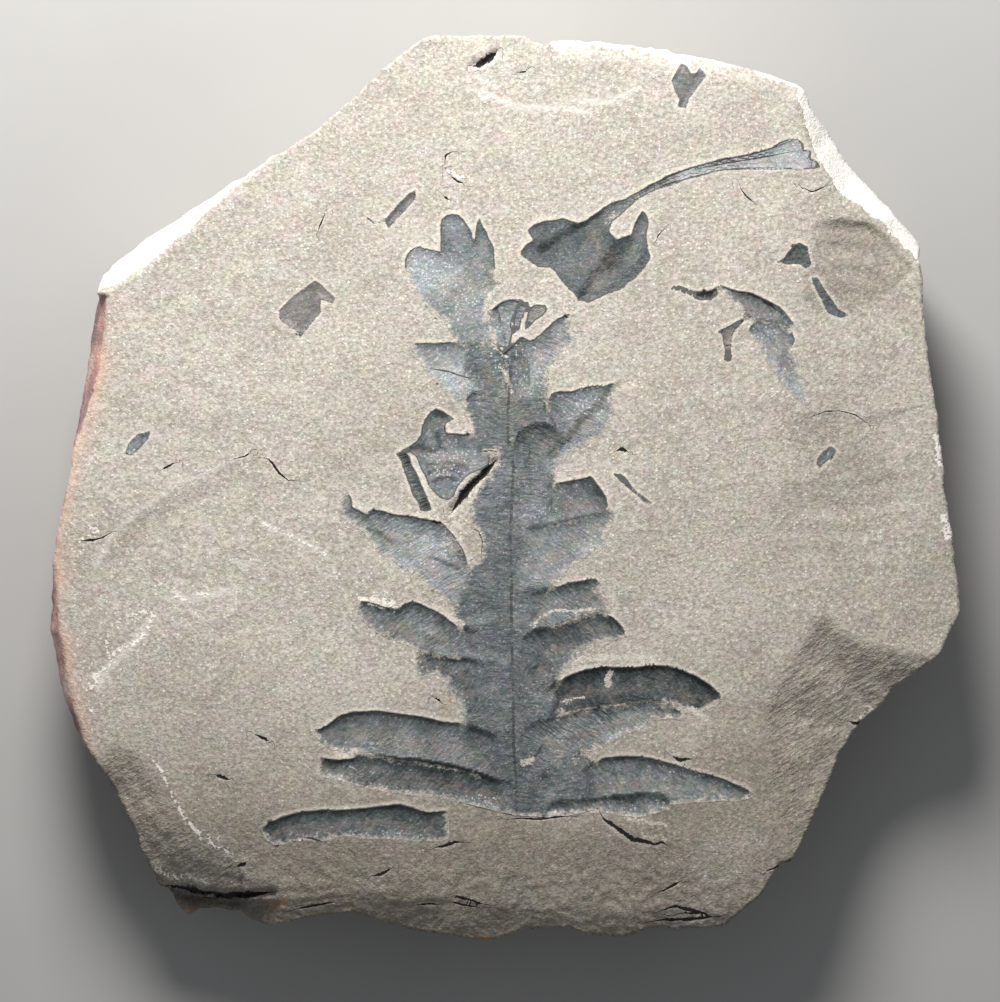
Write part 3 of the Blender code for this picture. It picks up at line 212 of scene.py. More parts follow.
# Depth of the troughs, in mm.
SHALLOW_LOBE = 0.16
LOBE_DEPTHS = {
    "left_3": 0.3, "left_4": 0.32, "left_5": 0.42, "left_6": 0.42,
    "right_1": 0.25, "right_2": 0.22, "right_3": 0.25, "right_4": 0.28, "right_5": 0.32,
    "right_6": 0.45, "right_7": 0.38, "right_8": 0.42, "right_9": 0.3,
    "detached": 0.36, "fold": 0.25, "upper": 0.35, "pinnule": 0.3, "stem": 0.1, "stalked_blade": 0.2,
    "left_2": 0.22, "left_2_strip": 0.2, "right_tip_1": 0.08, "right_tip_middle": 0.08, "brown_fold": 0.08,
}

# How light each lobe is, from 0 to 1.
LOBE_SHADES = {
    "crown": 0.66, "left_1": 0.78, "left_2": 0.58, "left_3": 0.7, "left_4": 0.5, "left_5": 0.5,
    "left_6": 0.34, "right_tip_1": 0.62, "right_tip_2": 0.7, "right_1": 0.62, "right_2": 0.55,
    "right_3": 0.72,
    "right_4": 0.52, "right_5": 0.4, "right_6": 0.22, "right_7": 0.56, "right_8": 0.55, "right_9": 0.5,
    "blade": 0.43, "detached": 0.36, "stem": 0.88, "pinnule": 0.68, "upper": 0.55, "fold": 0.1,
    "stub": 0.4, "stalked_blade": 0.42, "left_2_strip": 0.42, "right_tip_middle": 0.6, "brown_fold": 0.58,
}
# Lobes with a crisp margin all round, and how much paler the other lobes grow towards their lower margin.
CRISP_LOBES = {
    "left_2", "left_2_strip", "stem", "stalked_blade", "fold", "stub", "right_tip_1", "right_tip_middle",
    "brown_fold",
}
LOBE_FADES = {
    "crown": 0.15, "left_1": 0.3, "right_tip_2": 0.3,
    "left_3": 0.6, "right_1": 0.5, "right_3": 0.5, "blade": 0.5, "detached": 0.7, "right_6": 0.15,
    "right_8": 0.5,
}
# How plainly the veins show on some lobes: 1 elsewhere.
LOBE_STREAKS = {
    "stalked_blade": 0.15, "stem": 0.8, "crown": 0.45, "left_2": 0.5, "right_tip_1": 0.4, "left_1": 0.6,
    "right_7": 1.3, "left_5": 0.7, "left_6": 0.8, "detached": 0.6,
}
LOBE_BROWN = {"brown_fold": 1.2, "stub": 0.6}
# How strongly a lobe darkens along its upper margin, and how far in mm it blends into a lobe below it.
LOBE_SHADOWS = {**dict.fromkeys(CRISP_LOBES, 0.4), "blade": 0.0}
LOBE_BLENDS = {"blade": 3.0}
SCRAP_SHADES = {
    "top_scrap": 0.4, "triangle_scrap": 0.35, "strip_scrap": 0.35, "square_scrap": 0.45,
    "upper_left_chip": 0.4, "left_sliver": 0.6, "right_sliver": 0.45, "centre_sliver": 0.3,
}
SCRAP_BROWN = {"square_scrap": 1.0, "top_scrap": 0.5, "upper_left_chip": 0.4, "centre_sliver": 0.5}

# Where the face starts to bend down towards its foot, and how steeply and softly it does, in mm.
SAG_LINE = [(-60.0, -40.0), (-34.0, -40.0), (-12.0, -43.5), (14.0, -41.5), (30.0, -44.0), (60.0, -46.0)]
SAG_SLOPE = 0.2
SAG_SOFT = 3.0

# Each lobe is a crisp upper margin and a soft lower margin, both from its base to its tip.
# Where two lobes overlap, the later one lies over the earlier.
FROND_LOBES = {
    "crown": (
        [
            (-12.4, 27.2), (-12.4, 28.8), (-12, 29.6), (-11.4, 30.2), (-10.5, 30.5), (-9.6, 30.2),
            (-8.8, 30), (-7.9, 29.8), (-8, 31.4), (-8, 32.8), (-7.8, 33.8), (-7.2, 34.4), (-6.5, 34.6),
            (-5.6, 34.4), (-4.9, 33.8), (-4.4, 33), (-4, 32), (-3.8, 31.1), (-3.6, 32.2), (-3.4, 33.2),
            (-3, 34), (-2.8, 33.2), (-2.2, 32.4), (-1.9, 31.5), (-1.4, 30.5), (-1.1, 29.2),
            (-1.1, 27.2),
        ],
        [
            (-12.4, 27.2), (-12.2, 26.4), (-11.6, 25.4), (-10.9, 24.2), (-10, 23.4), (-9.1, 22.1),
            (-8.2, 21.2), (-7.2, 20.9), (-7, 20.1), (-6.1, 19.2), (-5.6, 18.2), (-1.2, 18.2),
            (-1.6, 19.9), (-2, 21.5), (-2.1, 22.6), (-1.8, 24.2), (-0.9, 25), (0.2, 25.5), (0, 26),
            (-0.9, 26.2), (-1.1, 27.2),
        ],
    ),
    "blade": (
        [
            (-5, 18.1), (-3.5, 18.8), (-1.2, 18.5), (-0.1, 17.2), (1, 18.2), (2.2, 19.2), (4.5, 18),
        ],
        [
            (-5, 18.1), (-5.5, 15), (-5.2, 11.2), (-4.5, 8.8), (-3.8, 7), (-3.4, 5.3),
            (-2.9, 4.9), (-0.8, 4.7), (-0.6, 3.8), (-1, 3), (-2.5, 1.1), (-3.8, -0.8), (-4.4, -2.8),
            (-4.5, -4.5), (-3.2, -5.2), (-2.8, -6.4),
            (-2.8, -8.4), (-4.2, -9.6), (-6.4, -12.5), (-6.5, -14.5), (-5.4, -17.2), (-6.1, -21.2),
            (-7, -25), (-5.5, -26.6), (-5.1, -29), (-4.2, -34), (-2.8, -39), (-0.5, -40.2), (2, -40.8),
            (5.1, -41), (8.9, -40.6), (11.6, -40), (12.4, -37), (11.4, -33.8), (10.8, -32.8), (8.5, -31.8),
            (6.8, -28.8), (7.2, -26.2), (6.6, -25), (7, -23.2), (6.8, -21.2), (6.5, -18.2), (6, -15.2),
            (5.8, -12.5), (6.5, -10.9), (6.1, -8.8), (5.6, -5), (6.1, -1.2), (6.4, 1), (6.5, 2),
            (5.9, 3.5), (6.1, 6.2), (6.5, 7.8), (5.6, 10), (5.4, 11.8), (5.4, 14), (5.1, 16.2),
            (4.5, 18),
        ],
    ),
    "right_tip_1": (
        [
            (-0.8, 18), (-2, 20.4), (-1.7, 22.6), (-1.1, 23), (-0.3, 23.5), (0.7, 23.8),
            (2.2, 23.8),
        ],
        [
            (-0.8, 18), (0.7, 17.6), (0.9, 18.4), (1.1, 19.8), (0.9, 20.9), (1.3, 21.9), (1.6, 23),
            (2.2, 23.8),
        ],
    ),
    "right_tip_middle": (
        [
            (1.2, 19.6), (1.1, 21.3), (1.6, 22.7), (2.4, 23.5), (3.1, 23.5),
        ],
        [
            (1.2, 19.6), (2, 20.1), (2.2, 21.1), (2.5, 22.1), (3.1, 22.9), (3.1, 23.5),
        ],
    ),
    "brown_fold": (
        [
            (2.5, 20), (2.9, 21.7), (3, 22.4), (3.4, 22.9), (4, 23.2), (5.2, 23.1),
        ],
        [
            (2.5, 20), (3.3, 20.5), (3.9, 21.2), (4.8, 21.7), (5.4, 22.5), (5.2, 23.1),
        ],
    ),
    "right_tip_2": (
        [
            (0.9, 17.2), (1.1, 18), (2.5, 18.4), (3.6, 18.8), (4.6, 19.5), (5.1, 20.1), (5.9, 20.9),
            (6.9, 21.6), (8.2, 22.1), (9.1, 22),
        ],
        [
            (0.9, 17.2), (0.8, 11.2), (3.2, 10.8), (5.1, 11.2), (5.5, 13.3), (5.4, 15.3),
            (6.1, 15.9), (7.1, 16.9), (7.9, 18), (8.7, 19), (8.4, 19.9), (8.1, 20.7), (8.3, 21.4),
            (9.1, 22),
        ],
    ),
    "left_1": (
        [
            (-3.2, 17.2), (-4.8, 18.2), (-6.9, 18.5), (-9, 18.4), (-11.5, 18.4),
        ],
        [
            (-3.2, 17.2), (-1.8, 12), (-3.5, 12), (-5.2, 10.9), (-6.4, 11.6), (-7.2, 12.6),
            (-8.2, 13.4), (-9.5, 14.2), (-10.1, 15.5), (-10.4, 16.2), (-11, 16.5), (-11.4, 17.5),
            (-11.5, 18.4),
        ],
    ),
    "left_2": (
        [
            (-2, 4.9), (-2.9, 7.4), (-4.9, 7.1), (-5.9, 7.1), (-7.2, 7), (-7.4, 8), (-7, 8.5),
            (-6.2, 8.9), (-7, 9.5), (-7.8, 10), (-8.5, 10.2), (-9.2, 9.8), (-9.8, 8.9),
            (-10.3, 7.8), (-10.4, 6.9), (-10.8, 6.2), (-11.7, 5.6), (-12.7, 5),
        ],
        [
            (-2, 4.9), (-1.6, 4), (-1.9, 3.1), (-2.9, 2.7), (-4.3, 1.9), (-5.8, 0.4), (-6.2, -0.7),
            (-7, -1.3), (-7.9, -1), (-8.8, -0.3), (-9.5, 0.6), (-10, 1.8), (-10.6, 3), (-11, 4.1),
            (-11.8, 4.7), (-12.7, 5),
        ],
    ),
    "left_2_strip": (
        [
            (-9, -2.5), (-9.5, -1.2), (-10.1, 0.2), (-10.8, 1.9), (-11.4, 3), (-11.8, 4.2),
            (-12.3, 4.8), (-13.3, 4.7),
        ],
        [
            (-9, -2.5), (-9.7, -2.8), (-10.5, -2.6), (-10.6, -1.9), (-11.3, -0.9), (-11.8, 0.4),
            (-12.5, 2.1), (-12.9, 3.6), (-13.5, 4.5), (-13.3, 4.7),
        ],
    ),
    "left_3": (
        [
            (-3.2, -10), (-4.5, -9.2), (-5.1, -7.5), (-6.4, -5.4), (-7.6, -4.2), (-9.1, -3.6),
            (-11.8, -3.2), (-13.4, -3), (-15.1, -2.5), (-16.6, -2.5), (-17, -3.1), (-18, -2.6),
            (-18.9, -2.1), (-19.1, -0.9), (-19.6, -0.1),
        ],
        [
            (-3.2, -10), (-4.8, -13.8), (-6.5, -14.5), (-8, -13), (-9.2, -12.4), (-10.6, -11.1),
            (-11.9, -10), (-13.1, -9.5), (-14.1, -8.6), (-15.1, -8.4), (-16, -7.5), (-16.9, -6.1),
            (-17.8, -5), (-18.9, -4.6), (-19.9, -3.8), (-20.5, -2.2), (-20.4, -1), (-19.6, -0.1),
        ],
    ),
    "left_4_under": (
        [
            (-1.5, -21.7), (-4.8, -20.7), (-8.2, -20.4), (-10.9, -19.6),
        ],
        [
            (-1.5, -21.7), (-1.8, -29.2), (-5.1, -29), (-5.5, -26.6), (-7, -25), (-7.2, -23.8),
            (-8.4, -22.9), (-9.1, -23.2), (-9.8, -24), (-10.6, -23.2),
            (-11.1, -21.5), (-10.9, -19.6),
        ],
    ),
    "left_4": (
        [
            (-2.2, -18.8), (-3.5, -17.5), (-5.4, -17.2), (-7.2, -15.9), (-8.8, -14.9), (-10.5, -14.1),
            (-11.6, -13.9), (-12.9, -14.4), (-13.1, -14.9), (-14.2, -14.6), (-15.5, -14.4),
            (-16.8, -14), (-18.4, -13.8),
        ],
        [
            (-2.2, -18.8), (-1.5, -22.2), (-4.8, -21.2), (-6.2, -21.2), (-8.2, -20.9), (-10.9, -20),
            (-14, -18.8), (-15.4, -18.1), (-16.1, -17.8), (-17, -16.9), (-17.9, -15.9), (-18.4, -14.9),
            (-18.4, -13.8),
        ],
    ),
    "left_5": (
        [
            (0.5, -32.5), (-1.5, -30.5), (-3.8, -29.6), (-5.1, -29), (-7, -28.9), (-9.1, -28.5),
            (-11.1, -28.1), (-13, -27.9), (-15.9, -27.5), (-17.9, -27.5), (-19.4, -27.8),
            (-20.5, -28.1), (-21.6, -28.9), (-23, -29.8), (-25.1, -30),
        ],
        [
            (0.5, -32.5), (1, -38), (-3.9, -35.8), (-8.5, -34.7), (-13.1, -34.1), (-15.5, -33.4),
            (-17.9, -32.8), (-19.2, -32.9), (-21.6, -32.5), (-22.4, -32), (-23.4, -31), (-24, -30.1),
            (-25.1, -30),
        ],
    ),
    "left_6": (
        [
            (1.5, -37.5), (0.8, -36.6), (-1.5, -35.9), (-3.9, -35.1), (-6.2, -34.4), (-8.5, -34),
            (-10.9, -33.6), (-13.1, -33.5), (-15.5, -33.1), (-17.9, -32.8), (-18.8, -33.4),
            (-20.9, -33.6), (-23.1, -33.4),
        ],
        [
            (1.5, -37.5), (1.5, -40.8), (-1.5, -40), (-4.8, -39.4), (-6.6, -38.6), (-10.9, -38.2),
            (-14.4, -37.8), (-17.4, -37.2), (-19.2, -36.6), (-21.8, -36.1), (-23.4, -35.6),
            (-23.4, -34.8), (-23.1, -33.4),
        ],
    ),
    "right_1": (
        [
            (4.8, 8.8), (5.2, 11), (5.8, 12), (7, 12.4), (8.5, 12.4), (9.4, 12.8), (10.4, 13),
            (11.6, 13.2), (12.4, 13), (13.4, 13.4), (14.4, 13.6),
        ],
        [
            (4.8, 8.8), (4.2, 2), (6, 1.5), (6.5, 2), (7, 3.2), (7.9, 4.2), (9.4, 5.1), (10.8, 5.9),
            (12.1, 6.5), (13, 7.4), (13.4, 8.9), (13.8, 10.2), (13.6, 11.5), (13.9, 12.8),
            (14.4, 13.6),
        ],
    ),
    "right_0": (
        [
            (1.2, 3.5), (1.4, 5.8), (1.9, 7), (2.8, 7.8), (4, 8.2), (5.2, 8.2), (6.8, 7.4),
        ],
        [
            (1.2, 3.5), (1.5, 0.8), (3.9, 2.2), (5.9, 4.1), (6.9, 5.4), (7.5, 6.4), (6.8, 7.4),
        ],
    ),
    "right_2": (
        [
            (4.5, -0.2), (6.4, 1), (7.6, 1.1), (9, 1.4), (10.9, 1.8), (11.4, 1.1), (12.1, 0.2),
            (12.8, -1), (13, -2.5),
        ],
        [
            (4.5, -0.2), (4, -5.6), (6.9, -4.5), (9, -4.1), (10.8, -3.6), (12.4, -3.4),
            (13.2, -3), (13, -2.5),
        ],
    ),
    "right_3": (
        [
            (1.2, -5.8), (2, -4.9), (4, -4.6), (5.5, -4.2), (6.9, -3.9), (9, -3.5), (10.8, -3),
            (12.4, -2.8), (14, -2.5),
        ],
        [
            (1.2, -5.8), (1.5, -12.8), (4.5, -12.2), (6, -11.8), (6.8, -10.9), (7.9, -10), (9.4, -9),
            (10.4, -8.2), (11.6, -7.4), (12.9, -7), (12.6, -5.9), (13.2, -4.4), (13.6, -3.4),
            (14, -2.5),
        ],
    ),
    "right_4": (
        [
            (2, -13.8), (4, -12.8), (5.9, -12.1), (7.2, -11.8), (8.6, -11.4), (10.4, -11.1),
            (12, -11.1),
        ],
        [
            (2, -13.8), (1.5, -19.2), (3.9, -17.6), (5.6, -17.4), (7.2, -16.8), (8.8, -16.2),
            (10.1, -15.6), (11.5, -15.2), (12.6, -15.4), (13.8, -14.8), (13, -13.8), (12.2, -12.4),
            (12, -11.1),
        ],
    ),
    "right_5": (
        [
            (1.5, -20), (2.8, -18.2), (3.9, -17.4), (5.6, -17.2), (7.2, -16.6), (8.8, -16.1),
            (10.1, -15.5), (11.5, -15.1), (12.6, -15.2), (13.8, -15.9), (14.8, -17), (15.4, -18.4),
        ],
        [
            (1.5, -20), (1.8, -26.2), (5.5, -24.2), (7.2, -22.9), (7.8, -22), (8.5, -21.1),
            (9.5, -20.1), (10.8, -19.5), (12.1, -19.1), (14, -18.8), (15.4, -18.4),
        ],
    ),
    "right_6": (
        [
            (5.2, -25.5), (6.5, -23.8), (8.4, -23), (10.1, -22.4), (12.1, -22.1), (14.4, -22.1),
            (16.2, -22.2), (18, -21.9), (19.1, -21.8), (20.6, -21.9), (22.2, -22.4), (23.9, -23.1),
            (25.1, -23.9), (26.2, -24.6), (27, -25.5), (27.1, -26.5),
        ],
        [
            (5.2, -25.5), (5.5, -28.6), (7, -28.2), (8.6, -27.8), (10.2, -27.5), (12.6, -27.2),
            (15.1, -26.9), (18, -26.7), (20, -26.7), (22, -27.1), (23.2, -27.8), (24.8, -27.8),
            (26.2, -27.2), (27.1, -26.5),
        ],
    ),
    "right_7": (
        [
            (1.8, -32.8), (2.2, -30.2), (4.1, -28.9), (5.9, -28.5), (7.6, -27.9), (9.5, -27.4),
            (11.8, -27), (14, -26.8), (16.2, -26.4), (18, -26.2), (19.4, -26.5), (20.6, -26.9),
            (22.9, -27.9),
        ],
        [
            (1.8, -32.8), (2, -37.5), (5.1, -35.2), (7.8, -33.8), (10, -32.8), (11.8, -32.5),
            (12.6, -32.1), (13.8, -31.4), (15.2, -30.5), (16.9, -29.9), (18.4, -29), (20.6, -28.6),
            (22, -28.8), (22.9, -27.9),
        ],
    ),
    "right_8": (
        [
            (9, -36), (10.8, -34.2), (12.6, -33.4), (14.4, -33.2), (16.2, -33.2), (18.4, -33.5),
            (20.6, -34), (22.9, -34.8), (25.1, -35.4), (27.4, -36), (29.6, -36.9), (30.8, -37.6),
            (31.4, -38.2),
        ],
        [
            (9, -36), (10.5, -39.4), (14.5, -39.6), (17.1, -39.7), (19.6, -39.5), (23.2, -39.1),
            (27.4, -38.9), (30.1, -38.8), (31.4, -38.2),
        ],
    ),
    "right_9": (
        [
            (4.2, -39.8), (6.5, -39), (8.8, -38.8), (10.8, -38.6), (12.1, -38.5), (14, -38.2),
            (15.8, -38.1), (17.1, -37.9), (18.4, -37.9), (19.8, -38.1), (20.5, -38.9), (21.1, -39.8),
        ],
        [
            (4.2, -39.8), (5.1, -41), (8.9, -40.6), (11, -40.3), (12.4, -40.3), (14.2, -40.7),
            (16.5, -41), (19, -40.5), (21.1, -39.8),
        ],
    ),
}

STALKED_LOBES = {
    "stem": (
        [
            (14.6, 35.9), (15.5, 36.7), (16.8, 37.4), (18.5, 38.4), (20.5, 39.4), (22, 40),
            (24.5, 40.8), (27.6, 41.5), (30.8, 42.1), (32.2, 42.5), (33.5, 42.9), (34.5, 43.5),
            (35.8, 43.9), (36.8, 43.9), (37.5, 43.2), (37.3, 42.6), (38.5, 42.3), (38.1, 41.5),
            (39.3, 41.1), (39.6, 40.2),
        ],
        [
            (14.6, 35.9), (16.5, 36.2), (18.2, 37.1), (20.1, 37.9), (21.4, 38.2), (23, 38.8),
            (24.5, 39.1), (26, 39.6), (27.6, 39.9), (29.5, 40), (33.2, 40.1), (37, 40),
            (39.6, 40.2),
        ],
    ),
    "stalked_blade": (
        [
            (16.7, 36.2), (15.8, 36.7), (14, 36.2), (13, 35.7), (12, 35), (11.1, 34.4),
            (10.3, 33.8), (9.2, 33.4), (8.2, 33.8), (7.3, 34.1), (6.4, 33.8), (5, 33.7),
            (3.7, 33.2), (3, 32.5), (3.3, 31.9), (3.7, 31.3), (2.7, 30.7), (2.1, 29.8), (2.1, 29.4),
            (3.2, 28.6), (4.2, 27.9), (5.6, 27.9), (6.5, 27.3), (7, 26.5), (7.4, 25.9), (8, 25.1),
            (8.9, 24.3), (9.1, 24), (8.5, 23.6), (9.7, 23.6), (10.6, 23.3),
        ],
        [
            (16.7, 36.2), (16.1, 35.6), (14.9, 34.6), (13.6, 33.6), (13.2, 32.4), (14.1, 31.3),
            (15.8, 32.1), (16.2, 33), (16.7, 34), (17.3, 34.9), (17.8, 34.4), (18.1, 33.6),
            (17.9, 31.9), (17.9, 30.1), (18.4, 29.2), (17.6, 27.9), (16.4, 26.4), (14.7, 25.1),
            (12.8, 24.5), (11.4, 23.7), (10.6, 23.3),
        ],
    ),
}

TORN_LOBES = {
    "fold": (
        [
            (20.9, 25), (21, 25.5), (21.6, 25.6), (22.5, 25.4), (23.5, 25), (24.5, 24.9), (25.8, 25),
            (26.5, 25.5), (27, 25.8), (27.6, 25.5),
        ],
        [
            (20.9, 25), (21.6, 24.9), (22.6, 24.5), (23.5, 24.1), (24.4, 23.6), (25.8, 23.6),
            (26.5, 24.1), (27.1, 24.8), (27.6, 25.5),
        ],
    ),
    "upper": (
        [
            (26.8, 25.2), (27, 25.8), (27.9, 25.4), (29.1, 25), (30.8, 24.8), (32.1, 24.2),
            (33.2, 23.6), (34.5, 22.9), (35.2, 22.1), (36.5, 20.6),
        ],
        [
            (26.8, 25.2), (27.5, 24.5), (28.2, 23.8), (29.1, 22.8), (29.9, 21.9), (30.6, 21.2),
            (32, 20.9), (33.5, 20.6), (34.6, 20.4), (35.5, 20), (36.5, 20.6),
        ],
    ),
    "stub": (
        [
            (26.5, 19.6), (27.2, 20.1), (28.2, 20.6), (29.2, 21.2), (30.1, 22.1),
        ],
        [
            (26.5, 19.6), (27.2, 19.5), (27.4, 18.2), (27.6, 17.5), (27.4, 16.2), (28.1, 16),
            (28.5, 16.2), (28.4, 17.5), (28.4, 18.5), (28.6, 19.5), (29.1, 20.2), (30.6, 21.5),
            (30.1, 22.1),
        ],
    ),
    "pinnule": (
        [
            (30.5, 19.6), (30.8, 20.6), (31.2, 21.2), (32.1, 21.4), (33.2, 21.1), (34.4, 21.1),
            (35.2, 20.6), (36, 19.8), (36.4, 18.8), (35.9, 17.5),
        ],
        [
            (30.5, 19.6), (31, 18.9), (31.9, 18), (32.4, 17.1), (32.8, 16.2), (33.4, 15.2),
            (34.1, 14.1), (35, 13.1), (35.9, 12.2), (36.8, 11.2), (37.5, 10.4), (38.4, 10),
            (38.4, 10.9), (37.9, 11.9), (37.8, 12.9), (37.2, 14.1), (36.9, 15.2), (36.4, 16.4),
            (35.9, 17.5),
        ],
    ),
}

DETACHED_LOBES = {
    "detached": (
        [
            (-7, -40.6), (-7.1, -40.1), (-8.4, -40.2), (-10, -40.1), (-11.8, -39.4), (-13.1, -39.1),
            (-15, -39.4), (-16.6, -39.6), (-19.5, -39.8), (-20.9, -40), (-22.5, -39.9), (-24.8, -40),
            (-26.4, -40.4), (-28, -40.8), (-29.4, -41.5), (-30.4, -42.4),
        ],
        [
            (-7, -40.6), (-6.9, -42.2), (-6.8, -43.5), (-8, -44), (-10.9, -43.9), (-14.4, -43.6),
            (-17.9, -43.5), (-19.9, -43.2), (-22.8, -44), (-25, -43.8), (-26.4, -43.8), (-27.4, -44.4),
            (-28.8, -44.5), (-30, -43.6), (-30.4, -42.4),
        ],
    ),
}

# Closed outlines of the small shreds.
SCRAPS = {
    "top_scrap": [
        (22.1, 53.5), (23, 53.1), (23.4, 52.1), (23.9, 52), (24.5, 53), (25.2, 51.8), (24.5, 50.9),
        (23.2, 49), (22.8, 47.6), (21.6, 47.9), (21.9, 48.9), (21.2, 50.2), (20.9, 51.2), (21.5, 52.4),
    ],
    "triangle_scrap": [
        (34.1, 28.5), (34.9, 28.8), (35.4, 29.6), (36.1, 30.5), (37, 31), (37.9, 30.4), (38.2, 29.2),
        (38.5, 28.1), (37.8, 27.6), (36.9, 28.2), (35.6, 28.2),
    ],
    "strip_scrap": [
        (38.4, 26.6), (39.2, 26.6), (40, 25.2), (41, 23.8), (42, 22.6), (43, 21.9), (42.2, 21.5),
        (41.2, 21.8), (40.4, 22.2), (39.8, 23.5), (39, 25.1),
    ],
    "square_scrap": [
        (-23.6, 26.2), (-22.8, 25.8), (-21.1, 24), (-21.4, 23.2), (-22.9, 23.9), (-22.9, 22.2),
        (-25.5, 19.1), (-26.1, 20), (-28.1, 21.4), (-28.1, 22.5), (-26.5, 24.1), (-25.1, 25.2),
    ],
    "upper_left_chip": [
        (-17.1, 34.1), (-16, 33.6), (-14.8, 34), (-13.4, 35.6), (-12.2, 36.8), (-11.1, 37.5),
        (-11, 36.6), (-12.2, 35.1), (-13.5, 33.9), (-14.4, 32.6), (-15, 33.6), (-16.2, 33.2),
    ],
    "left_sliver": [
        (-47.6, 4.4), (-46.9, 5.9), (-45.8, 6.9), (-44, 7.6), (-44.5, 6.5), (-45.4, 5.4), (-46.5, 4.4),
    ],
    "right_sliver": [
        (40.9, 5.5), (41.5, 4.9), (41.1, 4.2), (40.2, 3.5), (39.4, 2.6), (39, 3.2), (39.2, 4),
        (40, 4.9),
    ],
    "centre_sliver": [
        (13.6, 2.1), (14.5, 2.1), (15.4, 1.5), (16, 0.5), (17.1, -0.5), (18.4, -1.6), (17.6, -1.5),
        (16.2, -0.4), (15.2, 0.4), (14.4, 1.1),
    ],
}

RACHIS = [
    (-1.2, 23.8), (0.1, 18.8), (0.9, 16.2), (0.8, 13.8), (0.5, 10), (0.5, 6.2), (1, 4.8), (1.2, 2.5),
    (1, -1.2), (0.8, -6.2), (1, -10.6), (0.9, -15), (1, -20), (1.2, -26.2), (1.2, -31.2), (1.5, -36.2),
    (1.6, -40.9),
]
